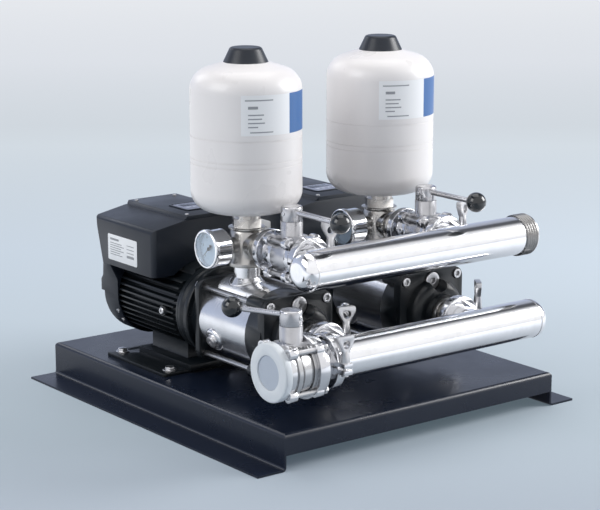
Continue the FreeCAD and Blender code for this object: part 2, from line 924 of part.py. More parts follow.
def impellers(side):
    """Closed impellers, one in each stage bowl."""
    solids = []
    inner_width = s.impeller_width - s.impeller_disc * 2
    for start in stage_starts():
        back = start + s.impeller_setback
        disc = rod((0, -back, 0), FORWARD, s.impeller_radius, s.impeller_disc)
        shroud_start = back + s.impeller_width - s.impeller_disc
        shroud = ring(s.impeller_eye, s.impeller_radius, shroud_start, s.impeller_disc, FORWARD)
        hub = rod((0, -back, 0), FORWARD, s.impeller_hub, s.impeller_hub_length)
        vane_start = -(back + s.impeller_disc + inner_width)
        vanes = [
            paddle(s.impeller_radius * 2 - s.impeller_disc, s.vane_thickness, vane_start, inner_width, turn)
            for turn in (0, 60, 120)
        ]
        eye = ring(s.impeller_hub, s.impeller_eye, back + s.impeller_disc, inner_width, FORWARD)
        bore = rod((0, OVERCUT - back, 0), FORWARD, s.shaft_radius + s.running_gap,
                   s.impeller_hub_length + OVERCUT * 2)
        wheel = join(disc, shroud, hub, cut(join(*vanes), eye))
        solids.append(at_pump(cut(wheel, bore), side))
    return solids


def rotor_shaft():
    """The one shaft of pump and motor, with the rotor core on it."""
    last_hub = s.stage_start + s.stage_pitch * 2 + s.impeller_setback + s.impeller_hub_length
    nut_end = -(last_hub + s.shaft_nut_length)
    core_end = s.rotor_start + s.rotor_length
    shaft_end = s.fan_start + s.fan_depth
    return turned([
        (0, nut_end),
        (s.shaft_nut_radius, nut_end),
        (s.shaft_nut_radius, -last_hub),
        (s.shaft_radius, -last_hub),
        (s.shaft_radius, s.rotor_start),
        (s.rotor_radius, s.rotor_start),
        (s.rotor_radius, core_end),
        (s.shaft_radius, core_end),
        (s.shaft_radius, shaft_end),
        (0, shaft_end),
    ], turn=BACK)


def shaft_seal():
    return ring(s.shaft_radius + s.running_gap, s.seal_radius, -s.bracket_front, s.seal_length, BACK)


def bearing_pair(side):
    starts = (s.motor_front - s.bearing_width, motor_back - s.bearing_width)
    inner = s.shaft_radius + s.running_gap
    return [at_pump(ring(inner, s.bearing_radius, start, s.bearing_width, BACK), side) for start in starts]


# Motor and drive, in the pump's own frame

def motor_housing():
    """The finned motor frame with its rear end wall, foot and drive seat."""
    bore = s.housing_radius - s.housing_wall
    wall_front = motor_back - s.housing_end_wall
    bearing_seat = s.bearing_radius + s.part_gap
    shell = turned([
        (bore, s.motor_front),
        (s.bracket_radius, s.motor_front),
        (s.bracket_radius, s.motor_front + s.housing_flange),
        (s.housing_radius, s.motor_front + s.housing_flange),
        (s.housing_radius, motor_back),
        (bearing_seat, motor_back),
        (bearing_seat, wall_front),
        (bore, wall_front),
    ], turn=BACK)
    fin_length = motor_back - s.fin_start
    fins = []
    for row in range(-5, 6):
        low = s.fin_pitch * row - s.fin_thickness / 2
        fins.append(block((-s.fin_tip_radius, s.fin_start, low),
                          (s.fin_tip_radius * 2, fin_length, s.fin_thickness)))
    fins.append(block((-s.top_pad_width / 2, s.fin_start, 0),
                      (s.top_pad_width, fin_length, s.fin_tip_radius)))
    envelope = rod((0, s.fin_start, 0), BACK, s.fin_tip_radius, fin_length)
    fin_core = rod((0, s.fin_start - OVERCUT, 0), BACK, bore + s.housing_wall / 2, fin_length + OVERCUT * 2)
    finned = cut(common(join(*fins), envelope), fin_core)
    foot = block((-s.foot_width / 2, s.foot_start, foot_top), (s.foot_width, s.foot_depth, s.foot_thickness))
    pedestal = block((-s.pedestal_width / 2, s.pedestal_start, foot_top),
                     (s.pedestal_width, s.pedestal_depth, -foot_top))
    solid_core = rod((0, s.pedestal_start - OVERCUT, 0), BACK, bore + s.housing_wall / 2,
                     s.pedestal_depth + OVERCUT * 2)
    return join(shell, finned, foot, cut(pedestal, solid_core))


def stator_core():
    """Laminations with the end windings on both sides."""
    outer = s.housing_radius - s.housing_wall - s.part_gap
    start, end = s.stator_start, s.stator_start + s.stator_length
    winding_in = s.stator_bore + s.winding_wall
    winding_out = outer - s.winding_wall
    return turned([
        (s.stator_bore, start),
        (winding_in, start),
        (winding_in, start - s.winding_length, 3),
        (winding_out, start - s.winding_length, 3),
        (winding_out, start),
        (outer, start),
        (outer, end),
        (winding_out, end),
        (winding_out, end + s.winding_length, 3),
        (winding_in, end + s.winding_length, 3),
        (winding_in, end),
        (s.stator_bore, end),
    ], turn=BACK)


def fan_cowl():
    """The rear cover over the fan, flared at the top to meet the drive, with air slots in its back."""
    front = motor_back - s.cowl_overlap
    outer = cowl_inner + s.cowl_wall
    back_wall = cowl_back - s.cowl_wall
    half = s.drive_width / 2
    drive_back = s.drive_front + s.drive_depth - s.drive_rear_slant
    cover = turned([
        (0, front),
        (outer, front),
        (outer, cowl_back, s.cowl_round),
        (0, cowl_back),
    ], turn=BACK)
    front_view = [
        (-outer, 0),
        (outer, 0),
        (outer, s.skirt_flare, s.cowl_round),
        (half, s.drive_bottom),
        (-half, s.drive_bottom),
        (-outer, s.skirt_flare, s.cowl_round),
    ]
    side_view = [
        (front, 0),
        (cowl_back, 0),
        (cowl_back, s.skirt_rear, s.cowl_round / 2),
        (drive_back, s.drive_bottom),
        (front, s.drive_bottom),
    ]
    plan_view = [
        (-half, front),
        (half, front),
        (half, cowl_back, s.cowl_round),
        (-half, cowl_back, s.cowl_round),
    ]
    skirt = common(
        padded(front_view, cowl_back - front, (0, cowl_back, 0), FORWARD),
        padded(side_view, s.drive_width, (-half, 0, 0), ALONG_X),
        padded(plan_view, s.drive_bottom),
    )
    room = turned([
        (0, front - OVERCUT),
        (cowl_inner, front - OVERCUT),
        (cowl_inner, back_wall, s.cowl_round - s.cowl_wall),
        (0, back_wall),
    ], turn=BACK)
    slots = []
    for row in range(-4, 5):
        low = s.cowl_slot_pitch * row - s.cowl_slot_height / 2
        slots.append(block((-s.cowl_slot_width / 2, back_wall - OVERCUT, low),
                           (s.cowl_slot_width, s.cowl_wall + OVERCUT * 2, s.cowl_slot_height)))
    return cut(join(cover, skirt), room, *slots)


def fan():
    """The cooling fan: hub, back disc and flat radial blades."""
    hub = rod((0, s.fan_start, 0), BACK, s.fan_hub, s.fan_depth)
    disc = rod((0, s.fan_start, 0), BACK, s.fan_radius - s.fan_hub, s.fan_blade)
    blades = [paddle(s.fan_radius * 2, s.fan_blade, s.fan_start, s.fan_depth, 45 * i) for i in range(4)]
    bore = rod((0, s.fan_start - OVERCUT, 0), BACK, s.shaft_radius + s.running_gap,
               s.fan_depth + OVERCUT * 2)
    return cut(join(hub, disc, *blades), bore)


def drive_box():
    """The drive's housing, hollow, cut to sit on the motor and its cowl."""
    half = s.drive_width / 2
    back = s.drive_front + s.drive_depth
    shoulder_x = s.drive_shoulder_width - half
    front_view = [
        (-half, s.drive_bottom),
        (half, s.drive_bottom),
        (half, s.drive_top, s.drive_round / 2),
        (shoulder_x, s.drive_top),
        (-half, s.drive_shoulder, s.drive_round),
    ]
    side_view = [
        (s.drive_front, s.drive_bottom),
        (back - s.drive_rear_slant, s.drive_bottom),
        (back, s.drive_top),
        (s.drive_front, s.drive_top),
    ]
    plan_view = rounded_rectangle(-half, half, s.drive_front, back, s.drive_round)
    outside = common(
        padded(front_view, s.drive_depth, (0, back, 0), FORWARD),
        padded(side_view, s.drive_width, (-half, 0, 0), ALONG_X),
        padded(plan_view, s.drive_top - s.drive_bottom, (0, 0, s.drive_bottom)),
    )
    wall = s.drive_wall
    cavity_depth = s.drive_depth - s.drive_rear_slant - wall * 2
    cavity = block((wall - half, s.drive_front + wall, s.drive_floor),
                   (s.drive_width - wall * 2, cavity_depth, s.drive_shoulder - wall - s.drive_floor))
    hatch = block((wall - s.lid_left, s.drive_front + wall, s.drive_floor),
                  (s.lid_left + s.lid_right - wall * 2, cavity_depth, s.drive_top - s.drive_floor + OVERCUT))
    saddle = rod((0, s.drive_front - OVERCUT, 0), BACK, cowl_inner, s.drive_depth + OVERCUT * 2)
    cowl_start = motor_back - s.cowl_overlap - s.part_gap
    cowl_room = rod((0, cowl_start, 0), BACK, cowl_inner + s.cowl_wall + s.part_gap, s.drive_depth)
    return cut(outside, cavity, hatch, saddle, cowl_room)


def drive_lid():
    """The raised lid with a bevelled left edge."""
    back = s.drive_front + s.drive_depth
    top = s.drive_top + s.lid_height
    front_view = [
        (-s.lid_left, s.drive_top),
        (s.lid_right, s.drive_top),
        (s.lid_right, top, 2),
        (s.lid_bevel - s.lid_left, top, 2),
    ]
    plan_view = rounded_rectangle(-s.lid_left, s.lid_right, s.drive_front, back, s.lid_round)
    return common(
        padded(front_view, s.drive_depth, (0, back, 0), FORWARD),
        padded(plan_view, s.lid_height, (0, 0, s.drive_top)),
    )


def drive_keypad():
    right = s.keypad_left + s.keypad_width
    outline = rounded_rectangle(s.keypad_left, right, s.keypad_start, s.keypad_start + s.keypad_depth, 3)
    return padded(outline, s.keypad_height, (0, 0, s.drive_top + s.lid_height))


def drive_board():
    """The drive's circuit board on four posts that stand on the floor of the box."""
    start = s.drive_front + s.drive_wall + s.board_post
    bottom = s.drive_floor + s.board_post
    board = block((-s.board_width / 2, start, bottom), (s.board_width, s.board_depth, s.board_thickness))
    posts = []
    for x in (-1, 1):
        for along in (s.board_post, s.board_depth - s.board_post):
            spot = (x * (s.board_width / 2 - s.board_post), start + along, s.drive_floor)
            posts.append(rod(spot, UP, s.board_post / 2, s.board_post + s.board_thickness / 2))
    return join(board, *posts)


# Riser fittings, tank and gauge, in the riser's own frame: its top, Z up

def cross_fitting():
    """The cross between riser, tank, gauge and discharge valve."""
    shoulder = s.cross_ring_height * 2
    body = turned([
        (0, 0),
        (s.cross_ring, 0),
        (s.cross_ring, s.cross_ring_height, 2),
        (s.cross_radius, shoulder),
        (s.cross_radius, s.cross_height - s.cross_ring_height),
        (s.cross_radius - 3, s.cross_height),
        (0, s.cross_height),
    ])
    centre = (0, 0, s.cross_centre)
    front_arm = rod(centre, FORWARD, s.cross_arm_radius, s.cross_arm_reach)
    collar_start = (0, s.cross_ring_height - s.cross_arm_reach, s.cross_centre)
    front_collar = rod(collar_start, FORWARD, s.cross_arm_radius + 3, s.cross_ring_height)
    gauge_arm = rod(centre, LEFT, s.gauge_arm_radius, s.gauge_arm_reach)
    way_up = rod((0, 0, -OVERCUT), UP, s.cross_bore, s.cross_height + OVERCUT * 2)
    way_out = rod(centre, FORWARD, s.discharge_valve_bore, s.cross_arm_reach + OVERCUT)
    gauge_way = rod(centre, LEFT, s.spindle_radius, s.gauge_arm_reach + OVERCUT)
    return cut(join(body, front_arm, front_collar, gauge_arm), way_up, way_out, gauge_way)


def tank_nipple():
    """The hexagon nipple that carries the tank."""
    start = s.cross_height
    hex_start = start + 2
    collar_start = hex_start + s.nipple_hex_height
    washer = rod((0, 0, start), UP, s.cross_ring, 2)
    nut = hexagon((0, 0, hex_start), UP, s.nipple_hex, s.nipple_hex_height)
    collar = rod((0, 0, collar_start), UP, s.nipple_collar, start + s.nipple_height - collar_start)
    bore = rod((0, 0, start - OVERCUT), UP, s.nipple_bore, s.nipple_height + OVERCUT * 2)
    return cut(join(washer, nut, collar), bore)


def seam(height):
    """A shallow pressed groove round the tank."""
    low = height - s.seam_width / 2
    high = height + s.seam_width / 2
    inner = s.tank_radius - s.seam_depth
    outer = s.tank_radius + OVERCUT
    return turned([(inner, low), (outer, low), (outer, high), (inner, high)])


def tank_shell():
    """The pressed steel tank, open at its water connection."""
    wall = s.tank_wall
    straight = s.tank_height - s.tank_shoulder_drop
    shell = turned([
        (s.nipple_bore, 0),
        (s.tank_radius, 0, s.tank_bottom_round),
        (s.tank_radius, straight, s.tank_shoulder_round),
        (s.cap_base, s.tank_height),
        (0, s.tank_height),
        (0, s.tank_height - wall),
        (s.cap_base - wall, s.tank_height - wall),
        (s.tank_radius - wall, straight - wall, s.tank_shoulder_round - wall),
        (s.tank_radius - wall, wall, s.tank_bottom_round - wall),
        (s.nipple_bore, wall),
    ])
    seams = [seam(s.seam_height), seam(s.seam_height - s.seam_pitch), seam(s.upper_seam_height)]
    return cut(shell, *seams)


def tank_bladder():
    """The rubber water bag on the tank's bottom connection."""
    bottom = s.tank_wall
    outer = s.tank_radius - s.tank_wall - s.bladder_gap
    wall = s.bladder_wall
    top = bottom + s.bladder_height
    return turned([
        (s.nipple_bore, bottom),
        (outer - s.bladder_gap, bottom, s.bladder_round),
        (outer, top, s.bladder_round),
        (0, top),
        (0, top - wall),
        (outer - wall, top - wall, s.bladder_round - wall),
        (outer - s.bladder_gap - wall, bottom + wall, s.bladder_round - wall),
        (s.nipple_bore, bottom + wall),
    ])


def tank_cap():
    """The hollow plastic cap over the air valve."""
    wall = s.cap_wall
    return turned([
        (0, s.cap_height - wall),
        (s.cap_top - wall, s.cap_height - wall),
        (s.cap_base - wall, 0),
        (s.cap_base, 0),
        (s.cap_top, s.cap_height, s.cap_round),
        (0, s.cap_height),
    ], (0, 0, s.tank_height))


def gauge_at(outline):
    """A lathe shape on the gauge's axis, measured from the end of the gauge arm."""
    return turned(outline, (-s.gauge_arm_reach, 0, s.cross_centre), LEFT)


gauge_face = s.gauge_nipple_length + s.gauge_depth
window_floor = gauge_face - s.dial_recess


def gauge_case():
    """The case with its stem and the bezel ring round the window."""
    back = s.gauge_nipple_length
    bezel_start = gauge_face - s.bezel_depth
    window = s.gauge_window + s.part_gap
    spindle_way = s.spindle_radius + s.part_gap
    spindle_end = window_floor - s.spindle_length
    return gauge_at([
        (0, 0),
        (s.gauge_nipple, 0),
        (s.gauge_nipple, back),
        (s.gauge_back, back, 2),
        (s.gauge_radius, back + s.gauge_nipple, 3),
        (s.gauge_radius, bezel_start),
        (s.bezel_radius, bezel_start),
        (s.bezel_radius, gauge_face, 2),
        (window, gauge_face),
        (window, window_floor),
        (spindle_way, window_floor),
        (spindle_way, spindle_end),
        (0, spindle_end),
    ])


def gauge_dial():
    hole = s.spindle_radius + s.part_gap
    top = window_floor + s.dial_thickness
    return gauge_at([
        (hole, window_floor),
        (s.gauge_window, window_floor),
        (s.gauge_window, top),
        (hole, top),
    ])


def gauge_lens():
    start = gauge_face - s.lens_recess
    end = start + s.lens_thickness
    return gauge_at([(0, start), (s.gauge_window, start), (s.gauge_window, end), (0, end)])


def gauge_needle():
    """Needle, hub and spindle; the needle rests at its zero, low on the left."""
    plane = window_floor + s.dial_thickness + s.needle_lift
    spindle_start = window_floor - s.spindle_length + s.part_gap
    hub_top = plane + s.needle_thickness * 2
    hub = gauge_at([
        (0, spindle_start),
        (s.spindle_radius, spindle_start),
        (s.spindle_radius, plane),
        (s.needle_hub, plane),
        (s.needle_hub, hub_top),
        (0, hub_top),
    ])
    half = s.needle_width / 2
    blade_turn = FreeCAD.Rotation(X_AXIS, NEEDLE_REST)
    blade = doc.addObject("Part::Box", "Needle")
    bind(blade, "Length", s.needle_thickness)
    bind(blade, "Width", s.needle_length + s.needle_tail)
    bind(blade, "Height", s.needle_width)
    cosine, sine = math.cos(math.radians(NEEDLE_REST)), math.sin(math.radians(NEEDLE_REST))
    low_y = -(s.needle_length * cosine) + half * sine
    low_z = -(s.needle_length * sine) - half * cosine
    low_x = -s.gauge_arm_reach - plane - s.needle_thickness
    place(blade, (low_x, low_y, s.cross_centre + low_z), blade_turn)
    return join(hub, blade)


NEEDLE_REST = 135


# Pipes

def ferrule(radius, start, turn, at, bore):
    return ring(bore, radius, start, s.ferrule_length, turn, at)


def branch(name_x, start_y, end_length, bore_radius):
    """A branch pipe that ends in a clamp ferrule, pointing back to the pump."""
    at = (name_x, 0, 0)
    pipe = rod(at, BACK, s.branch_radius, end_length)
    lip = ferrule(s.branch_ferrule, end_length - s.ferrule_length, BACK, at, bore_radius)
    return [pipe, lip]


def suction_manifold():
    """The lower manifold: inlet ferrule at the left, dished end at the right."""
    left = -suction_left
    right = s.pump_spacing / 2 + s.suction_right_overhang
    length = right - left
    inner = s.pipe_radius - s.pipe_wall
    start = (left, 0, 0)
    pipe = turned([
        (0, 0),
        (s.pipe_radius, 0),
        (s.pipe_radius, length, s.end_round),
        (0, length),
    ], start, RIGHT)
    hollow = turned([
        (0, -OVERCUT),
        (inner, -OVERCUT),
        (inner, length - s.pipe_wall, s.end_round - s.pipe_wall),
        (0, length - s.pipe_wall),
    ], start, RIGHT)
    lip = ferrule(s.inlet_ferrule, 0, RIGHT, start, inner)
    outer_parts, bores = manifold_branches(s.suction_branch_length)
    shell = cut(join(pipe, lip, *outer_parts), hollow, *bores)
    return place(shell, (0, datum_y - suction_reach, s.axis_height))


def manifold_branches(length):
    """Both branch pipes of a manifold and the bores through them."""
    bore_radius = s.branch_radius - s.pipe_wall
    outer_parts, bores = [], []
    for side in SIDES:
        at = (pump_x(side), 0, 0)
        outer_parts.append(rod(at, BACK, s.branch_radius, length))
        outer_parts.append(ferrule(s.branch_ferrule, length - s.ferrule_length, BACK, at, bore_radius))
        bores.append(rod(at, BACK, bore_radius, length + OVERCUT))
    return outer_parts, bores


def discharge_manifold():
    """The upper manifold: dished end at the left, threaded outlet at the right."""
    left = -(s.pump_spacing / 2 + s.discharge_left_overhang)
    right = s.pump_spacing / 2 + s.discharge_right_overhang
    length = right - left
    inner = s.pipe_radius - s.pipe_wall
    start = (right, 0, 0)
    pipe = turned([
        (0, 0),
        (s.outlet_stub_radius, 0),
        (s.outlet_stub_radius, s.outlet_stub_length),
        (s.pipe_radius, s.outlet_stub_length),
        (s.pipe_radius, length, s.end_round),
        (0, length),
    ], start, LEFT)
    hollow = turned([
        (0, -OVERCUT),
        (inner, -OVERCUT),
        (inner, length - s.pipe_wall, s.end_round - s.pipe_wall),
        (0, length - s.pipe_wall),
    ], start, LEFT)
    outer_parts, bores = manifold_branches(s.discharge_branch_length)
    shell = cut(join(pipe, *outer_parts), hollow, *bores)
    return place(shell, (0, datum_y - discharge_reach, discharge_height))


def suction_nipple():
    """The nipple between the pump's neck and the suction clamp."""
    bore = s.branch_radius - s.pipe_wall
    flange_end = neck_end + s.nipple_flange_length
    lip_start = suction_joint - s.ferrule_length
    return turned([
        (bore, neck_end),
        (s.nipple_flange, neck_end),
        (s.nipple_flange, flange_end),
        (s.branch_radius, flange_end),
        (s.branch_radius, lip_start),
        (s.branch_ferrule, lip_start),
        (s.branch_ferrule, suction_joint),
        (bore, suction_joint),
    ], turn=FORWARD)


# Clamps, in their own frame: the pipe along Y, the ears at +X, the bolt upright

def clamp_half(ferrule_radius, clamp_radius, neck_radius, up):
    """One half of a clamp ring, with its bolt ear and its hinge tab."""
    half_width = s.clamp_width / 2
    groove = s.ferrule_length + s.part_gap
    hoop = turned([
        (neck_radius + s.part_gap, -half_width),
        (clamp_radius, -half_width, 2),
        (clamp_radius, half_width, 2),
        (neck_radius + s.part_gap, half_width),
        (neck_radius + s.part_gap, groove),
        (ferrule_radius + s.part_gap, groove),
        (ferrule_radius + s.part_gap, -groove),
        (neck_radius + s.part_gap, -groove),
    ], turn=BACK)
    reach = clamp_radius + s.ear_length
    half_split = s.clamp_split / 2
    low = half_split if up else -(half_split + s.ear_thickness)
    ear = block((clamp_radius - s.ear_thickness / 2, -half_width, low),
                (s.ear_length + s.ear_thickness / 2, s.clamp_width, s.ear_thickness))
    keep_low = half_split if up else -(reach + half_split)
    keep = block((-reach, -s.clamp_width, keep_low), (reach * 2, s.clamp_width * 2, reach))
    bolt_x = reach - s.clamp_bolt_inset
    hole = rod((bolt_x, 0, low - OVERCUT), UP, s.clamp_bolt_radius + s.part_gap,
               s.ear_thickness + OVERCUT * 2)
    seat = half_split + s.ear_thickness if up else -(half_split + s.ear_thickness + clamp_radius)
    nut_room = rod((bolt_x, 0, seat), UP, s.nut_neck_radius + 2 + s.part_gap, clamp_radius)
    return cut(join(common(hoop, keep), ear), hole, nut_room)


def clamp_bolt(clamp_radius, bolt_length):
    """The upright bolt with its round head under the lower ear."""
    bolt_x = clamp_radius + s.ear_length - s.clamp_bolt_inset
    head_top = -(s.clamp_split / 2 + s.ear_thickness)
    head = rod((bolt_x, 0, head_top - s.clamp_bolt_radius), UP, s.nut_neck_radius, s.clamp_bolt_radius)
    shank = rod((bolt_x, 0, head_top), UP, s.clamp_bolt_radius, bolt_length)
    return join(head, shank)


def wing_nut(clamp_radius, neck_height, degrees):
    """The nut on the upper ear: a round neck with a flared wing that has an eye."""
    bolt_x = clamp_radius + s.ear_length - s.clamp_bolt_inset
    seat = s.clamp_split / 2 + s.ear_thickness
    neck = cone((0, 0, seat), UP, s.nut_neck_radius + 2, s.nut_neck_radius, neck_height)
    low = seat + neck_height - 2
    top = low + s.wing_height
    half_span = s.wing_span / 2
    wing = padded([
        (-s.nut_neck_radius, low),
        (s.nut_neck_radius, low),
        (half_span, top - s.wing_height / 3, 3),
        (half_span, top, 3),
        (-half_span, top, 3),
        (-half_span, top - s.wing_height / 3, 3),
    ], s.wing_thickness, (0, s.wing_thickness / 2, 0), FORWARD)
    eye = rod((0, s.wing_thickness, top - s.wing_height / 2), FORWARD, s.wing_eye, s.wing_thickness * 2)
    bore = rod((0, 0, seat - OVERCUT), UP, s.clamp_bolt_radius + s.running_gap, neck_height)
    nut = cut(join(neck, wing), eye, bore)
    return moved(nut, (bolt_x, 0, 0), FreeCAD.Rotation(Z_AXIS, degrees))


def clamp_places():
    """Where each clamp sits, how it is turned and which radii it has."""
    branch_radii = (s.branch_ferrule, s.branch_clamp, s.branch_radius)
    inlet_radii = (s.inlet_ferrule, s.inlet_clamp, s.pipe_radius)
    neck = s.branch_nut_neck
    places = []
    for side, suction_nut, discharge_nut in (("left", -15, -20), ("right", 55, 20)):
        suction = (pump_x(side), datum_y - suction_joint, s.axis_height)
        discharge = (pump_x(side), datum_y - discharge_joint, discharge_height)
        places.append((suction, 0, branch_radii, neck, suction_nut))
        places.append((discharge, 0, branch_radii, neck, discharge_nut))
    inlet = (-suction_left, datum_y - suction_reach, s.axis_height)
    places.append((inlet, -90, inlet_radii, s.inlet_nut_neck, 90))
    return places


def clamps():
    """Every clamp: two half rings, the bolt and the wing nut."""
    halves, bolts, nuts = [], [], []
    for at, degrees, (ferrule_radius, clamp_radius, neck_radius), nut_neck, nut_turn in clamp_places():
        turn = FreeCAD.Rotation(Z_AXIS, degrees)
        for up in (True, False):
            halves.append(moved(clamp_half(ferrule_radius, clamp_radius, neck_radius, up), at, turn))
        bolt_length = s.clamp_bolt_length - s.branch_nut_neck + nut_neck
        bolts.append(moved(clamp_bolt(clamp_radius, bolt_length), at, turn))
        nuts.append(moved(wing_nut(clamp_radius, nut_neck, nut_turn), at, turn))
    piece("clamp_rings", *halves)
    piece("clamp_bolts", *bolts)
    piece("clamp_wing_nuts", *nuts)


# Ball valves, in their own frame: flow along Y, clamp ferrule at -Y, stem up

discharge_kind = SimpleNamespace(
    body=s.discharge_valve_body, half=s.discharge_valve_half, bonnet=s.discharge_valve_bonnet,
    flange=s.discharge_valve_flange, flange_length=s.discharge_flange_length,
    lobe_circle=s.discharge_lobe_circle, lobe=s.discharge_lobe_radius,
    ball=s.discharge_valve_ball, bore=s.discharge_valve_bore,
    back=s.discharge_valve_back, front=s.discharge_valve_front,
    neck=s.branch_radius, ferrule=s.branch_ferrule, lever_reach=s.discharge_lever_reach,
)
inlet_kind = SimpleNamespace(
    body=s.inlet_valve_body, half=s.inlet_valve_half, bonnet=s.inlet_valve_bonnet,
    flange=s.inlet_valve_flange, flange_length=s.inlet_flange_length,
    lobe_circle=s.inlet_lobe_circle, lobe=s.inlet_lobe_radius,
    ball=s.inlet_valve_ball, bore=s.inlet_valve_bore,
    back=s.inlet_valve_back, front=s.inlet_valve_front,
    neck=s.pipe_radius, ferrule=s.inlet_ferrule, lever_reach=s.inlet_lever_reach,
)


def lobe_spots(kind):
    reach = kind.lobe_circle * COS_45
    return [(reach * x, reach * z) for x in (-1, 1) for z in (-1, 1)]


def valve_body(kind):
    """The middle of the valve, with the ball chamber and the stem neck."""
    barrel = rod((0, kind.half, 0), FORWARD, kind.body, kind.half * 2)
    neck = rod((0, 0, 0), UP, s.valve_neck_radius, kind.bonnet)
    pad_low = kind.body * COS_45
    pad = block((-s.valve_neck_radius, -kind.half, pad_low),
                (s.valve_neck_radius * 2, kind.half * 2, kind.body - pad_low + s.lever_radius))
    chamber = rod((0, kind.half + OVERCUT, 0), FORWARD, kind.ball + s.part_gap, kind.half * 2 + OVERCUT * 2)
    stem_way = rod((0, 0, 0), UP, s.stem_radius + s.running_gap, kind.bonnet + OVERCUT)
    return cut(join(barrel, neck, pad), chamber, stem_way)


def flange_plate(kind, start, length, turn, disc_radius):
    """A flange with a lobe for each of the four bolts."""
    disc = rod((0, start, 0), turn, disc_radius, length)
    lobes = [rod((x, start, z), turn, kind.lobe, length) for x, z in lobe_spots(kind)]
    return [disc, *lobes]


def bolt_holes(kind, start, length, turn):
    return [rod((x, start, z), turn, s.valve_bolt_radius + s.part_gap, length) for x, z in lobe_spots(kind)]


def front_cap(kind, disc_radius, disc_length):
    """The end cap on the clamp side, ending in a ferrule."""
    outer = turned([
        (kind.bore, kind.half),
        (kind.neck, kind.half),
        (kind.neck, kind.front - s.ferrule_length),
        (kind.ferrule, kind.front - s.ferrule_length),
        (kind.ferrule, kind.front),
        (kind.bore, kind.front),
    ], turn=FORWARD)
    lobed = flange_plate(kind, -kind.half, kind.flange_length, FORWARD, kind.flange)
    disc = rod((0, -kind.half, 0), FORWARD, disc_radius, disc_length)
    way = rod((0, OVERCUT - kind.half, 0), FORWARD, kind.bore, kind.front)
    seat = sphere((0, 0, 0), kind.ball + s.part_gap)
    holes = bolt_holes(kind, OVERCUT - kind.half, disc_length + kind.flange_length, FORWARD)
    return cut(join(outer, disc, *lobed), way, seat, *holes)


def discharge_back_cap(kind):
    """The end cap on the pump side, with the round ring and its thread nipple."""
    ring_start = s.discharge_ring_place
    ring_end = ring_start + s.discharge_ring_length
    outer = turned([
        (kind.bore, kind.half),
        (kind.neck, kind.half),
        (kind.neck, ring_start),
        (s.discharge_ring_radius, ring_start, 1),
        (s.discharge_ring_radius, ring_end, 1),
        (kind.neck - s.pipe_wall, ring_end),
        (kind.neck - s.pipe_wall, kind.back),
        (kind.bore, kind.back),
    ], turn=BACK)
    lobed = flange_plate(kind, kind.half, kind.flange_length, BACK, kind.flange)
    way = rod((0, kind.half - OVERCUT, 0), BACK, kind.bore, kind.back)
    seat = sphere((0, 0, 0), kind.ball + s.part_gap)
    holes = bolt_holes(kind, kind.half - OVERCUT, kind.flange_length + OVERCUT * 2, BACK)
    return cut(join(outer, *lobed), way, seat, *holes)


def inlet_back_cap(kind):
    """The open end cap that the plastic cover closes."""
    lobed = flange_plate(kind, kind.half, kind.back - kind.half, BACK, kind.flange)
    way = rod((0, kind.half - OVERCUT, 0), BACK, kind.bore, kind.back)
    seat = sphere((0, 0, 0), kind.ball + s.part_gap)
    holes = bolt_holes(kind, kind.half - OVERCUT, kind.back, BACK)
    return cut(join(*lobed), way, seat, *holes)


def valve_bolts(kind, front_end, back_end):
    """Through bolts between the two end caps, with heads at the front."""
    solids = []
    for x, z in lobe_spots(kind):
        shank = rod((x, back_end, z), FORWARD, s.valve_bolt_radius, front_end + back_end)
        head = hexagon((x, -front_end, z), FORWARD, s.valve_bolt_head, s.valve_bolt_head_length)
        solids.append(join(shank, head))
    return solids


def valve_ball(kind):
    """The drilled ball with its stem up to the handle."""
    ball = sphere((0, 0, 0), kind.ball)
    stem = rod((0, 0, 0), UP, s.stem_radius, kind.bonnet + s.hub_height - s.lever_drop)
    way = rod((0, kind.ball + OVERCUT, 0), FORWARD, kind.bore, kind.ball * 2 + OVERCUT * 2)
    return cut(join(ball, stem), way)


def valve_handle(kind):
    """The hub on the stem with the lever rod; the rod points to -Y."""
    low = kind.bonnet + s.part_gap
    hub = turned([
        (0, low),
        (s.hub_radius, low),
        (s.hub_radius, low + s.hub_height, 3),
        (0, low + s.hub_height),
    ])
    lever_z = low + s.hub_height - s.lever_drop
    lever_length = kind.lever_reach - s.knob_radius + s.knob_socket_depth
    lever = rod((0, 0, lever_z), FORWARD, s.lever_radius, lever_length)
    stem_way = rod((0, 0, kind.bonnet), UP, s.stem_radius + s.running_gap, s.hub_height - s.lever_drop)
    return cut(join(hub, lever), stem_way)


def valve_knob(kind):
    """The black ball at the end of the lever."""
    lever_z = kind.bonnet + s.part_gap + s.hub_height - s.lever_drop
    knob = sphere((0, -kind.lever_reach, lever_z), s.knob_radius)
    socket = rod((0, s.knob_radius - kind.lever_reach, lever_z), FORWARD,
                 s.lever_radius + s.running_gap, s.knob_socket_depth + s.part_gap)
    return cut(knob, socket)


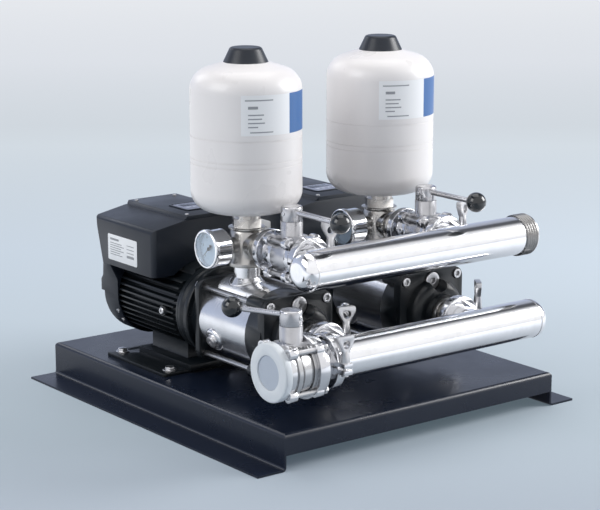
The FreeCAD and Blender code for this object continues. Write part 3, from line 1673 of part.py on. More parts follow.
def valves():
    """The two discharge valves and the inlet valve."""
    bodies, caps, bolts = [], [], []
    settings = []
    for side in SIDES:
        at = (pump_x(side), datum_y - valve_reach, discharge_height)
        settings.append((side + "_discharge", discharge_kind, at, 0, 0))
    inlet_x = -suction_left - s.inlet_valve_front
    inlet_at = (inlet_x, datum_y - suction_reach, s.axis_height)
    settings.append(("inlet", inlet_kind, inlet_at, 90, 180 + s.inlet_lever_swing))
    for name, kind, at, degrees, lever_angle in settings:
        turn = FreeCAD.Rotation(Z_AXIS, degrees)
        bodies.append(moved(valve_body(kind), at, turn))
        if kind is inlet_kind:
            caps.append(moved(inlet_back_cap(kind), at, turn))
            caps.append(moved(front_cap(kind, s.inlet_ring_radius, s.inlet_ring_length), at, turn))
            front_end = kind.half + s.inlet_ring_length
            back_end = kind.back
        else:
            caps.append(moved(discharge_back_cap(kind), at, turn))
            caps.append(moved(front_cap(kind, kind.flange, kind.flange_length), at, turn))
            front_end = kind.half + kind.flange_length
            back_end = kind.half + kind.flange_length
        bolts.extend(moved(bolt, at, turn) for bolt in valve_bolts(kind, front_end, back_end))
        lever_turn = FreeCAD.Rotation(Z_AXIS, size_of(lever_angle).value)
        for suffix, builder in (("ball", valve_ball), ("handle", valve_handle), ("knob", valve_knob)):
            piece(f"{name}_{suffix}", moved(builder(kind), at, lever_turn, lever_angle))
    piece("valve_bodies", *bodies)
    piece("valve_end_caps", *caps)
    piece("valve_bolts", *bolts)
    cover_at = (inlet_x - s.inlet_valve_back, datum_y - suction_reach, s.axis_height)
    piece("inlet_cover", place(inlet_cover(), cover_at, LEFT))


def inlet_cover():
    """The plastic transit cover pushed into the open end of the inlet valve."""
    plug = s.cover_plug_radius
    dish_floor = s.cover_depth - s.cover_dish_depth
    return turned([
        (0, -s.cover_plug_length),
        (plug, -s.cover_plug_length),
        (plug, 0),
        (s.cover_radius, 0),
        (s.cover_radius, s.cover_depth, 3),
        (s.cover_dish_radius, s.cover_depth),
        (s.cover_dish_radius, dish_floor),
        (0, dish_floor),
    ])


# The whole machine

def build_pump(side):
    """Every piece that one pump has to itself."""
    for name, builder in (
        ("motor_bracket", motor_bracket),
        ("pump_sleeve", pump_sleeve),
        ("suction_head", suction_head),
        ("motor_housing", motor_housing),
        ("fan_cowl", fan_cowl),
        ("drive_box", drive_box),
        ("rotor_shaft", rotor_shaft),
        ("fan", fan),
    ):
        piece(f"{side}_{name}", at_pump(builder(), side))
    piece(f"{side}_impellers", *impellers(side))
    piece(f"{side}_tank_shell", at_riser(tank_shell(), side, tank_bottom))
    piece(f"{side}_gauge_needle", at_riser(gauge_needle(), side))


def at_tank(feature, side):
    return at_riser(feature, side, tank_bottom)


def build_machine():
    base_frame()
    for side in SIDES:
        build_pump(side)
    for name, builder in (
        ("foot_bolts", foot_bolts),
        ("tie_rods", tie_rods),
        ("diffusers", diffusers),
        ("motor_bearings", bearing_pair),
    ):
        piece(name, *[solid for side in SIDES for solid in builder(side)])
    for name, builder in (
        ("sole_plates", sole_plate),
        ("stator_cores", stator_core),
        ("shaft_seals", shaft_seal),
        ("drive_lids", drive_lid),
        ("drive_keypads", drive_keypad),
        ("drive_boards", drive_board),
        ("suction_nipples", suction_nipple),
    ):
        piece(name, *both(builder, at_pump))
    piece("pump_plugs", *both(vent_plug, at_pump), *both(drain_plug, at_pump))
    for name, builder in (
        ("cross_fittings", cross_fitting),
        ("tank_nipples", tank_nipple),
        ("gauge_cases", gauge_case),
        ("gauge_dials", gauge_dial),
        ("gauge_lenses", gauge_lens),
    ):
        piece(name, *both(builder, at_riser))
    piece("tank_bladders", *both(tank_bladder, at_tank))
    piece("tank_caps", *both(tank_cap, at_tank))
    piece("suction_manifold", suction_manifold())
    piece("discharge_manifold", discharge_manifold())
    clamps()
    valves()


def check_machine():
    """Stop if a feature failed or a sub-part isn't sound."""
    for feature in doc.Objects:
        failed = [word for word in feature.State if word in ("Invalid", "Error")]
        if failed:
            raise RuntimeError(f"{feature.Name} {feature.Label}: {failed}")
    for name, feature in pieces.items():
        shape = feature.Shape
        if shape.isNull() or not shape.isValid() or not shape.Solids:
            raise RuntimeError(f"{name} is not a sound solid")


def export_pieces():
    os.makedirs("parts", exist_ok=True)
    for name, feature in pieces.items():
        feature.Shape.exportStep(os.path.join("parts", f"{name}.step"))


fill_sheet()
build_machine()
doc.recompute()
check_machine()
export_pieces()
print(len(pieces), "sub-parts written")
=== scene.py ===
import json
import math

import bpy
from mathutils import Matrix, Vector

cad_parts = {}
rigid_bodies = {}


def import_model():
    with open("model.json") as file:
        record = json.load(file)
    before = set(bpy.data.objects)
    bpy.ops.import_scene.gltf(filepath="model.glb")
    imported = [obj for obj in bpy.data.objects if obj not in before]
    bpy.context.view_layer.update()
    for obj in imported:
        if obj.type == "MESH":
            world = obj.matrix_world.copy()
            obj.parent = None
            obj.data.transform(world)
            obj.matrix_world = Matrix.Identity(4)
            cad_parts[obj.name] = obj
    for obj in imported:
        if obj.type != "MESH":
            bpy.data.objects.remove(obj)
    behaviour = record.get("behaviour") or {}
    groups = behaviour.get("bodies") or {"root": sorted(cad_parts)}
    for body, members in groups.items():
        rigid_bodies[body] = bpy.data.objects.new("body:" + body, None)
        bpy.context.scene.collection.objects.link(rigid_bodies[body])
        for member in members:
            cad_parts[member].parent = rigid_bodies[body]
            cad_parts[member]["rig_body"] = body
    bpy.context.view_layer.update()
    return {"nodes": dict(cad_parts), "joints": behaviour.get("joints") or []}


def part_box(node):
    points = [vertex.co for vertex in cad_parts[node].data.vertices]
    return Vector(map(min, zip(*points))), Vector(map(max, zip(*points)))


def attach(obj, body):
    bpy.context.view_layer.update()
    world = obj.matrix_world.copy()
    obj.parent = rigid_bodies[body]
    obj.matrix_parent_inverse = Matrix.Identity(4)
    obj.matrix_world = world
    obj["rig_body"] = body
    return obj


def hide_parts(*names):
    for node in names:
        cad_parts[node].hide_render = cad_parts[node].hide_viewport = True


bl_info = {
    "name": "Booster Pump Finishes",
    "version": (1, 0, 0),
    "blender": (4, 5, 0),
    "location": "3D View > Sidebar > Booster Pump",
    "description": "Finishes, small parts and studio for a twin booster pump",
    "category": "Object",
}

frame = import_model()

# Places of the machine, read from the frame, in metres

SIDES = ("left", "right")
PUMP_X = {"left": -0.125, "right": 0.125}
FULL_TURN = math.tau
MILLIMETRE = 0.001
TO_RIGHT, TO_LEFT = (1.0, 0.0, 0.0), (-1.0, 0.0, 0.0)
TO_MOTOR, TO_FRONT = (0.0, 1.0, 0.0), (0.0, -1.0, 0.0)


def joint_place(name):
    """Where a joint of the frame sits."""
    return next(Vector(joint["pos_m"]) for joint in frame["joints"] if joint["name"] == name)


SHAFT = {side: joint_place(f"{side}_rotor_spin") for side in SIDES}
NEEDLE = {side: joint_place(f"{side}_needle_swing") for side in SIDES}
VALVES = {
    "left_discharge": joint_place("left_discharge_lever_turn"),
    "right_discharge": joint_place("right_discharge_lever_turn"),
    "inlet": joint_place("inlet_lever_turn"),
}


# Pipes and threads, in metres

PIPE_RADIUS = 0.0285
BRANCH_RADIUS = 0.020
OUTLET_RADIUS = 0.0298
OUTLET_LENGTH = 0.024
OUTLET_X = 0.218
OUTLET_CREST, NIPPLE_CREST = 0.0011, 0.0007
THREAD_CLEARANCE = 0.00003
CREST_FLAT = (0.42, 0.58)
SUCTION_AXIS = Vector((0.0, VALVES["inlet"].y, SHAFT["left"].z))
DISCHARGE_AXIS = Vector((
    0.0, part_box("discharge_manifold")[0].y + OUTLET_RADIUS, VALVES["left_discharge"].z))
NIPPLE_THREADS = ((0.01803, 0.018, 115.0, -80.0), (0.02003, 0.018, 0.0, -201.0))
SEAMS = ((SUCTION_AXIS, 0.208), (DISCHARGE_AXIS, -0.169))
SEAM_SINK, SEAM_RISE, SEAM_HALF = 0.001, 0.0003, 0.0012
RIPPLE, RIPPLE_TURN = 0.12, 2.1
LOOP_STEPS = 96

# Pump barrel, motor and drive: places in millimetres from the shaft line, sizes in metres

SLEEVE_RADIUS = 0.061
RISER_PLACE = (0.0, -44.0)
RISER_REACH, RISER_BEAD = (0.0262, 0.0238), 0.0016
DRAIN_TURN, DRAIN_SETBACK, DRAIN_SINK = math.radians(22.0), -40.0, 0.0008
DRAIN_RING = (
    (0.0112, 0.0), (0.0112, 0.0032), (0.0135, 0.0036), (0.0165, 0.0022), (0.0185, 0.0),
    (0.0185, -0.004), (0.0112, -0.004), (0.0112, 0.0),
)
WALL_LEFT, LID_TOP = -83.0, 137.0
NAMEPLATE, NAMEPLATE_CARD = (162.5, 79.0), (0.081, 0.040, 0.0005, 0.0025)
ROW_LIFT, ROW_THICKNESS, ROW_CORNER = 0.0005, 0.0001, 0.0002
NAMEPLATE_ROWS = (
    (-22.0, 13.0, 24.0, 3.2), (-18.0, 7.0, 32.0, 1.2), (-15.0, 3.5, 38.0, 1.2), (-19.0, 0.0, 30.0, 1.2),
    (-15.0, -3.5, 38.0, 1.2), (-20.0, -7.0, 28.0, 1.2), (-17.0, -10.5, 34.0, 1.2), (22.0, 9.0, 20.0, 1.2),
    (22.0, 3.5, 20.0, 1.2), (22.0, -2.0, 20.0, 1.2), (22.0, -8.0, 20.0, 4.0),
)
KEYPAD_PLACE = (32.0, 139.0, 138.2)
KEYPAD_RIM, RIM_BORDER, RIM_SINK = (0.060, 0.054, 0.0016, 0.005), 0.0042, 0.0012
KEYPAD_WINDOW, WINDOW_SHIFT = (0.036, 0.015, 0.0003, 0.0015), 0.009
BUTTON, BUTTON_START = (0.0075, 0.0065, 0.0007, 0.0015), (-0.0159, -0.0105)
BUTTON_COUNT, BUTTON_PITCH = 4, 0.0106
LID_SCREWS = ((-13.0, 91.0), (58.0, 91.0), (-13.0, 230.0), (58.0, 230.0))
LID_SCREW = (0.0032, 0.0016, 0.0015)
COWL_RADIUS, COWL_SCREW = 0.0696, (0.0036, 0.0020, 0.0016)
COWL_SCREWS = ((203.0, 207.0), (218.0, 207.0), (-23.0, 207.0), (-38.0, 207.0))
EARTH_BOSS = ((0.0, 0.0), (0.0085, 0.0), (0.0085, 0.010), (0.0078, 0.0112), (0.0, 0.0112))
EARTH_BOSS_PLACE, EARTH_SCREW_PLACE = (-57.0, 78.4, -1.0), (-68.0, 78.4, -1.0)
EARTH_SCREW = (0.0055, 0.0032, 0.0022)
FOOT_BOLTS = ((-80.0, 43.0), (80.0, 43.0), (-80.0, 173.0), (80.0, 173.0))
SOLE_TOP, WASHER = -83.0, (0.0045, 0.0105, 0.0, 0.0016)
AIR_GUIDE, GUIDE_RING = 216.0, (0.040, 0.0668, -0.0006, 0.0006)

# Valves, in metres; the drum's profile is in millimetres

DRUM_PROFILE = (
    (33.6, -15.6), (39.6, -15.6), (40.2, -15.0), (40.2, -9.6), (39.4, -8.8), (35.6, -8.2), (35.6, -6.2),
    (37.8, -5.4), (38.4, -4.8), (37.2, 7.4), (36.6, 8.0), (34.6, 8.4), (34.6, 11.0), (37.6, 11.8),
    (38.2, 12.4), (38.2, 15.7), (33.6, 15.7), (33.6, -15.6),
)
DISH_RADIUS, DISH_DEPTH, DISH_SHEET = 0.0236, 0.0030, 0.0009
HUB_RADIUS, HUB_LIFT = 0.0155, {"discharge": 0.062, "inlet": 0.071}
HUB_PIN = (0.0030, 0.0012, 0.0013)
PIN_SIDE = {"discharge": (-1.0, 0.0, 0.0), "inlet": (0.35, -0.94, 0.0)}

# Tank labels: heights as shares of the label, bearings in degrees

LABEL_BOTTOM = 0.425
LABEL_START, BAND_START, BAND_END = 229.0, 283.0, 318.0
LABEL_GAP, LABEL_SHEET, BAND_SHEET = 0.00005, 0.00012, 0.00014
RULE_GAP, RULE_SHEET = 0.0001, 0.00006
LABEL_RULES = (
    (0.86, 0.89, 233.0, 262.0),
    (0.66, 0.73, 236.0, 246.0),
    (0.50, 0.53, 236.0, 252.0),
    (0.40, 0.43, 236.0, 250.0),
    (0.30, 0.33, 236.0, 253.0),
    (0.20, 0.23, 236.0, 246.0),
    (0.07, 0.10, 238.0, 262.0),
)

# Gauges: a tick is a length and a width in metres, the sweep is in degrees

DIAL_STEPS, MAJOR_EVERY, NUMBER_STEP = 25, 5, 2
DIAL_ZERO, DIAL_SWEEP = 225.0, 270.0
DIAL_RADIUS = 0.0238
DIAL_THICKNESS = 0.001
MAJOR_TICK, MINOR_TICK, TICK_SHEET = (0.0032, 0.0006), (0.0018, 0.0003), 0.0001
NUMBER_SIZE, NUMBER_INSET, NUMBER_LIFT, NUMBER_SHEET = 0.0046, 0.0066, 0.00008, 0.00005
BLADE, BLADE_MIDDLE, BLADE_TIP, TIP_SHARE = (0.024, 0.0016, 0.0006), 0.007, 0.019, 0.2
NEEDLE_HUB = ((0.0, -0.0006), (0.0026, -0.0006), (0.0026, 0.0005), (0.0021, 0.001), (0.0, 0.001))
NEEDLE_WEIGHT = ((0.0, -0.0003), (0.0024, -0.0003), (0.0024, 0.0003), (0.0, 0.0003))
WEIGHT_PLACE, NEEDLE_LIFT = -0.0065, 0.0009
FACE_LEFT = Matrix(((0, 0, -1, 0), (-1, 0, 0, 0), (0, 1, 0, 0), (0, 0, 0, 1)))


# Settings that a user would change

class PumpColours(bpy.types.PropertyGroup):
    """Colours of the painted and moulded parts."""

    base_coat: bpy.props.FloatVectorProperty(
        name="Base coat", description="Powder coat of the folded base",
        default=(0.005, 0.0095, 0.023), subtype="COLOR", min=0.0, max=1.0)
    casting: bpy.props.FloatVectorProperty(
        name="Casting paint", description="Paint of the heads, brackets and motors",
        default=(0.0045, 0.0070, 0.0095), subtype="COLOR", min=0.0, max=1.0)
    moulding: bpy.props.FloatVectorProperty(
        name="Moulding", description="Plastic of the drives, cowls and caps",
        default=(0.0065, 0.0105, 0.0185), subtype="COLOR", min=0.0, max=1.0)
    enamel: bpy.props.FloatVectorProperty(
        name="Tank enamel", description="Enamel of the pressure tanks",
        default=(0.83, 0.80, 0.795), subtype="COLOR", min=0.0, max=1.0)
    band: bpy.props.FloatVectorProperty(
        name="Label band", description="Coloured band of the tank labels",
        default=(0.03, 0.13, 0.36), subtype="COLOR", min=0.0, max=1.0)
    dial: bpy.props.FloatVectorProperty(
        name="Dial", description="Card of the gauge dials",
        default=(0.55, 0.66, 0.78), subtype="COLOR", min=0.0, max=1.0)


class PumpSizes(bpy.types.PropertyGroup):
    """Sizes of the small parts that the solids leave out."""

    thread_pitch: bpy.props.FloatProperty(
        name="Thread pitch", description="Distance between the nipples' thread crests, half the outlet's",
        default=0.0023, unit="LENGTH", min=0.001, max=0.005)
    weld_radius: bpy.props.FloatProperty(
        name="Weld bead", description="Radius of the weld beads round the branches",
        default=0.0013, unit="LENGTH", min=0.0005, max=0.004)
    label_height: bpy.props.FloatProperty(
        name="Label height", description="Height of the tank labels",
        default=0.057, unit="LENGTH", min=0.02, max=0.1)
    casting_round: bpy.props.FloatProperty(
        name="Casting edge", description="Edge rounding of the castings",
        default=0.0014, unit="LENGTH", min=0.0002, max=0.004)
    machined_round: bpy.props.FloatProperty(
        name="Machined edge", description="Edge rounding of the turned fittings",
        default=0.0005, unit="LENGTH", min=0.0001, max=0.002)


# Node groups that several finishes share

def new_group(name, inputs, outputs):
    """Start a shader node group with its named inputs and outputs."""
    group = bpy.data.node_groups.new(name, "ShaderNodeTree")
    for label, kind, default in inputs:
        socket = group.interface.new_socket(name=label, in_out="INPUT", socket_type=kind)
        if default is not None:
            socket.default_value = default
    for label, kind in outputs:
        group.interface.new_socket(name=label, in_out="OUTPUT", socket_type=kind)
    return group, group.nodes.new("NodeGroupInput"), group.nodes.new("NodeGroupOutput")


def feed(tree, value, socket):
    """Give a socket a number, or link another socket to it."""
    if isinstance(value, (int, float)):
        socket.default_value = value
    else:
        tree.links.new(value, socket)


def map_range(tree, value, low, high, from_low=0.3, from_high=0.7):
    """Stretch a value between two sockets or numbers."""
    node = tree.nodes.new("ShaderNodeMapRange")
    bounds = {"Value": value, "From Min": from_low, "From Max": from_high, "To Min": low, "To Max": high}
    for label, bound in bounds.items():
        feed(tree, bound, node.inputs[label])
    return node.outputs["Result"]


def noise(tree, vector, scale, detail=4.0, roughness=0.55):
    """A noise texture whose scale is a number or a socket."""
    node = tree.nodes.new("ShaderNodeTexNoise")
    for label, value in (("Vector", vector), ("Scale", scale), ("Detail", detail), ("Roughness", roughness)):
        feed(tree, value, node.inputs[label])
    return node.outputs["Fac"]


def arithmetic(tree, operation, *values):
    """A math node fed with numbers or sockets."""
    node = tree.nodes.new("ShaderNodeMath")
    node.operation = operation
    for value, socket in zip(values, node.inputs):
        feed(tree, value, socket)
    return node.outputs["Value"]


def mixed_colour(tree, factor, first, second):
    """The first colour, and the second one as far as the factor says."""
    node = tree.nodes.new("ShaderNodeMix")
    node.data_type = "RGBA"
    for label, socket in (("Factor", factor), ("A", first), ("B", second)):
        tree.links.new(socket, node.inputs[label])
    return node.outputs["Result"]


def build_grain_group():
    """Fine even grain: moulded plastic, paint and blasted metal."""
    group, source, sink = new_group(
        "surface_grain",
        [("Vector", "NodeSocketVector", None), ("Scale", "NodeSocketFloat", 400.0),
         ("Low", "NodeSocketFloat", 0.3), ("High", "NodeSocketFloat", 0.4)],
        [("Roughness", "NodeSocketFloat"), ("Height", "NodeSocketFloat")])
    grain = noise(group, source.outputs["Vector"], source.outputs["Scale"], 5.0, 0.6)
    clouds = noise(group, source.outputs["Vector"], 14.0, 3.0)
    group.links.new(map_range(group, clouds, source.outputs["Low"], source.outputs["High"]),
                    sink.inputs["Roughness"])
    group.links.new(grain, sink.inputs["Height"])
    return group


def build_lines_group():
    """Fine lines of turning, brushing or polishing across a stretched vector."""
    group, source, sink = new_group(
        "polish_lines",
        [("Vector", "NodeSocketVector", None), ("Stretch", "NodeSocketVector", (1.0, 1.0, 1.0)),
         ("Low", "NodeSocketFloat", 0.1), ("High", "NodeSocketFloat", 0.25)],
        [("Roughness", "NodeSocketFloat"), ("Height", "NodeSocketFloat")])
    stretch = group.nodes.new("ShaderNodeVectorMath")
    stretch.operation = "MULTIPLY"
    group.links.new(source.outputs["Vector"], stretch.inputs[0])
    group.links.new(source.outputs["Stretch"], stretch.inputs[1])
    lines = noise(group, stretch.outputs["Vector"], 1.0, 6.0, 0.65)
    clouds = noise(group, source.outputs["Vector"], 22.0, 3.0)
    blend = arithmetic(group, "MULTIPLY_ADD", clouds, 0.5, arithmetic(group, "MULTIPLY", lines, 0.5))
    group.links.new(map_range(group, blend, source.outputs["Low"], source.outputs["High"]),
                    sink.inputs["Roughness"])
    group.links.new(lines, sink.inputs["Height"])
    return group


def build_handling_group():
    """Patchy tone: dust that settled, rubbed paint and dull spots on metal."""
    group, source, sink = new_group(
        "handling_marks",
        [("Vector", "NodeSocketVector", None), ("Scale", "NodeSocketFloat", 30.0),
         ("Colour", "NodeSocketColor", (0.5, 0.5, 0.5, 1.0)),
         ("Marked", "NodeSocketColor", (0.6, 0.6, 0.6, 1.0)), ("Amount", "NodeSocketFloat", 0.3)],
        [("Colour", "NodeSocketColor")])
    patches = noise(group, source.outputs["Vector"], source.outputs["Scale"], 6.0, 0.62)
    amount = map_range(group, patches, 0.0, source.outputs["Amount"], 0.45, 0.75)
    colour = mixed_colour(group, amount, source.outputs["Colour"], source.outputs["Marked"])
    group.links.new(colour, sink.inputs["Colour"])
    return group


GROUP_BUILDERS = {
    "surface_grain": build_grain_group,
    "polish_lines": build_lines_group,
    "handling_marks": build_handling_group,
}
GROUPS = {}


def shared_group(name):
    """A node group by name, built the first time that it is asked for."""
    if name not in GROUPS:
        GROUPS[name] = GROUP_BUILDERS[name]()
    return GROUPS[name]


# Finishes

class Finish:
    """One material under construction."""

    def __init__(self, name, **shader_values):
        self.material = bpy.data.materials.new(name)
        self.material.use_nodes = True
        self.tree = self.material.node_tree
        self.tree.nodes.clear()
        self.shader = self.tree.nodes.new("ShaderNodeBsdfPrincipled")
        output = self.tree.nodes.new("ShaderNodeOutputMaterial")
        self.tree.links.new(self.shader.outputs["BSDF"], output.inputs["Surface"])
        coordinates = self.tree.nodes.new("ShaderNodeTexCoord")
        self.place = coordinates.outputs["Object"]
        for label, value in shader_values.items():
            self.shader.inputs[label.replace("_", " ").title()].default_value = value

    def group(self, name, **values):
        """Place a shared node group with this finish's own values."""
        node = self.tree.nodes.new("ShaderNodeGroup")
        node.node_tree = shared_group(name)
        self.tree.links.new(self.place, node.inputs["Vector"])
        for label, value in values.items():
            node.inputs[label].default_value = value
        return node

    def wear(self, colour, marked, amount, scale=30.0):
        """Give the surface its colour, patchy with a second one."""
        node = self.group("handling_marks", Colour=(*colour, 1.0), Marked=(*marked, 1.0),
                          Amount=amount, Scale=scale)
        self.tree.links.new(node.outputs["Colour"], self.shader.inputs["Base Color"])

    def surface(self, name, distance, **values):
        """Give the surface its roughness and its relief from a shared group."""
        node = self.group(name, **values)
        bump = self.tree.nodes.new("ShaderNodeBump")
        bump.inputs["Distance"].default_value = distance
        self.tree.links.new(node.outputs["Roughness"], self.shader.inputs["Roughness"])
        self.tree.links.new(node.outputs["Height"], bump.inputs["Height"])
        self.tree.links.new(bump.outputs["Normal"], self.shader.inputs["Normal"])


SETTLED_DUST = 0.007


def painted(name, colour, low, high, grain_scale, distance, coat=0.0, wear=0.25, sheen=0.5):
    """Paint or powder coat with its orange peel and a little settled dust."""
    finish = Finish(name, coat_weight=coat)
    finish.shader.inputs["Specular IOR Level"].default_value = sheen
    finish.wear(colour, tuple(channel + (1.0 - channel) * SETTLED_DUST for channel in colour), wear)
    finish.surface("surface_grain", distance, Scale=grain_scale, Low=low, High=high)
    return finish.material


def bare_metal(name, colour, dulled, amount, scale):
    """Metal whose colour is dulled in patches."""
    finish = Finish(name, metallic=1.0)
    finish.wear(colour, tuple(channel * dulled for channel in colour), amount, scale)
    return finish


def metal(name, colour, stretch, low, high, distance):
    """Bare metal whose lines run across the stretched axis."""
    finish = bare_metal(name, colour, 0.86, 0.6, 45.0)
    finish.surface("polish_lines", distance, Stretch=stretch, Low=low, High=high)
    return finish.material


def cast_metal(name, colour, low, high, grain_scale, distance):
    """Bare metal with the even grain of casting or blasting."""
    finish = bare_metal(name, colour, 0.8, 0.7, 60.0)
    finish.surface("surface_grain", distance, Scale=grain_scale, Low=low, High=high)
    return finish.material


def clear_glass():
    """Clear gauge glass."""
    finish = Finish("gauge_glass", transmission_weight=1.0)
    finish.shader.inputs["Base Color"].default_value = (0.95, 0.98, 1.0, 1.0)
    finish.shader.inputs["IOR"].default_value = 1.45
    finish.shader.inputs["Roughness"].default_value = 0.03
    return finish.material


FINISHES = {}
ACROSS_X = (900.0, 24.0, 24.0)
ACROSS_Y = (24.0, 900.0, 24.0)
ACROSS_Z = (24.0, 24.0, 900.0)


def make_finishes():
    """Every finish of the machine, by name."""
    colours = bpy.context.scene.pump_colours
    base, casting, moulding = tuple(colours.base_coat), tuple(colours.casting), tuple(colours.moulding)
    enamel, band, dial = tuple(colours.enamel), tuple(colours.band), tuple(colours.dial)
    steel, nickel = (0.48, 0.48, 0.495), (0.44, 0.43, 0.415)
    FINISHES.update({
        "base_coat": painted("base_coat", base, 0.24, 0.34, 900.0, 0.00004, coat=0.1, sheen=0.4),
        "casting": painted("casting", casting, 0.27, 0.40, 520.0, 0.00010, sheen=0.4),
        "moulding": painted("moulding", moulding, 0.32, 0.44, 1500.0, 0.00004, sheen=0.4),
        "enamel": painted("enamel", enamel, 0.26, 0.36, 240.0, 0.00003, coat=0.08, wear=0.1),
        "knob": painted("knob", (0.005, 0.008, 0.011), 0.12, 0.2, 900.0, 0.00001, coat=0.3),
        "keypad": painted("keypad", (0.20, 0.22, 0.30), 0.34, 0.42, 1800.0, 0.00002),
        "window": painted("window", (0.05, 0.06, 0.09), 0.1, 0.16, 1800.0, 0.00001, wear=0.05),
        "button": painted("button", (0.40, 0.43, 0.52), 0.35, 0.42, 1800.0, 0.00002),
        "label": painted("label", (0.90, 0.905, 0.92), 0.38, 0.45, 1800.0, 0.00001, wear=0.05),
        "label_band": painted("label_band", band, 0.35, 0.42, 1800.0, 0.00001, wear=0.05),
        "print_grey": painted("print_grey", (0.30, 0.31, 0.33), 0.4, 0.5, 1800.0, 0.00001, wear=0.05),
        "cover": painted("cover", (0.72, 0.755, 0.79), 0.34, 0.44, 700.0, 0.00004, wear=0.1),
        "cover_dish": painted("cover_dish", (0.47, 0.52, 0.60), 0.34, 0.44, 700.0, 0.00004, wear=0.1),
        "dial": painted("dial", dial, 0.4, 0.5, 1800.0, 0.00001, wear=0.05),
        "print_black": painted("print_black", (0.010, 0.010, 0.011), 0.4, 0.5, 1800.0, 0.00001, wear=0.05),
        "board": painted("board", (0.02, 0.14, 0.06), 0.3, 0.4, 900.0, 0.00002),
        "rubber": painted("rubber", (0.015, 0.015, 0.015), 0.6, 0.75, 900.0, 0.00005),
        "windings": painted("windings", (0.22, 0.09, 0.035), 0.35, 0.5, 700.0, 0.0001),
        "polished_x": metal("polished_x", (0.80, 0.805, 0.82), ACROSS_X, 0.07, 0.17, 0.000006),
        "polished_y": metal("polished_y", (0.64, 0.645, 0.665), ACROSS_Y, 0.10, 0.22, 0.000008),
        "sleeve": metal("sleeve", (0.74, 0.745, 0.76), ACROSS_Y, 0.16, 0.30, 0.00001),
        "turned_x": metal("turned_x", (0.52, 0.52, 0.525), ACROSS_X, 0.14, 0.26, 0.00001),
        "turned_z": metal("turned_z", steel, ACROSS_Z, 0.16, 0.30, 0.00001),
        "satin": cast_metal("satin", steel, 0.22, 0.36, 700.0, 0.00003),
        "nickel": cast_metal("nickel", nickel, 0.20, 0.34, 420.0, 0.00006),
        "zinc": cast_metal("zinc", (0.56, 0.56, 0.57), 0.24, 0.38, 500.0, 0.00003),
        "thread": cast_metal("thread", (0.27, 0.265, 0.26), 0.24, 0.36, 420.0, 0.00003),
        "shaft": metal("shaft", (0.58, 0.59, 0.61), ACROSS_Y, 0.2, 0.32, 0.00001),
        "glass": clear_glass(),
    })


NODE_FINISH = {
    "base_frame": "base_coat", "sole_plates": "casting", "foot_bolts": "zinc",
    "suction_manifold": "polished_x", "discharge_manifold": "polished_x", "inlet_cover": "cover",
    "tie_rods": "zinc", "clamp_rings": "polished_y", "clamp_bolts": "zinc",
    "clamp_wing_nuts": "zinc", "valve_bolts": "zinc", "pump_plugs": "zinc",
    "valve_end_caps": "polished_y", "valve_bodies": "satin", "tank_caps": "moulding",
    "tank_nipples": "nickel", "gauge_cases": "polished_x", "gauge_lenses": "glass",
    "gauge_dials": "dial", "stator_cores": "windings", "diffusers": "satin",
    "shaft_seals": "rubber", "motor_bearings": "shaft", "suction_nipples": "nickel",
    "drive_keypads": "keypad", "drive_boards": "board", "drive_lids": "moulding",
    "cross_fittings": "nickel", "tank_bladders": "rubber",
}
SIDE_FINISH = {
    "drive_box": "moulding", "motor_housing": "casting", "fan_cowl": "moulding",
    "motor_bracket": "casting", "pump_sleeve": "sleeve", "suction_head": "casting",
    "tank_shell": "enamel", "rotor_shaft": "shaft", "impellers": "satin", "fan": "moulding",
    "gauge_needle": "print_black",
}
VALVE_FINISH = {"handle": "turned_z", "knob": "knob", "ball": "polished_y"}


def finish_of(node):
    """The finish that a node of the frame gets."""
    if node in NODE_FINISH:
        return FINISHES[NODE_FINISH[node]]
    for side in SIDES:
        word = node.removeprefix(side + "_")
        if word in SIDE_FINISH:
            return FINISHES[SIDE_FINISH[word]]
    return FINISHES[VALVE_FINISH[node.rsplit("_", 1)[1]]]


# Modelling by hand steps

def deselect_all():
    """Leave edit mode and select nothing."""
    if bpy.context.object and bpy.context.object.mode != "OBJECT":
        bpy.ops.object.mode_set(mode="OBJECT")
    bpy.ops.object.select_all(action="DESELECT")


def activate(piece):
    """Select one piece alone and make it the active one."""
    deselect_all()
    piece.select_set(True)
    bpy.context.view_layer.objects.active = piece


def apply_modifier(piece, kind, **values):
    """Add a modifier, set it and apply it."""
    activate(piece)
    modifier = piece.modifiers.new(kind.title(), kind)
    for label, value in values.items():
        setattr(modifier, label, value)
    bpy.ops.object.modifier_apply(modifier=modifier.name)


def settle(piece, matrix=None):
    """Put a piece's place into its mesh, so its object sits at the origin."""
    if matrix is not None:
        piece.matrix_world = matrix @ piece.matrix_world
    activate(piece)
    bpy.ops.object.transform_apply(location=True, rotation=True, scale=True)
    return piece


def smooth(piece, degrees=35):
    """Shade a piece smooth, with hard edges past an angle."""
    activate(piece)
    bpy.ops.object.shade_smooth_by_angle(angle=math.radians(degrees))
    return piece


def finish_piece(piece, name, finish, body="frame"):
    """Name a piece, give it its material and slot, and let it ride."""
    piece.name = name
    piece.data.name = name
    piece.data.materials.clear()
    piece.data.materials.append(FINISHES[finish])
    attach(piece, body)
    return piece


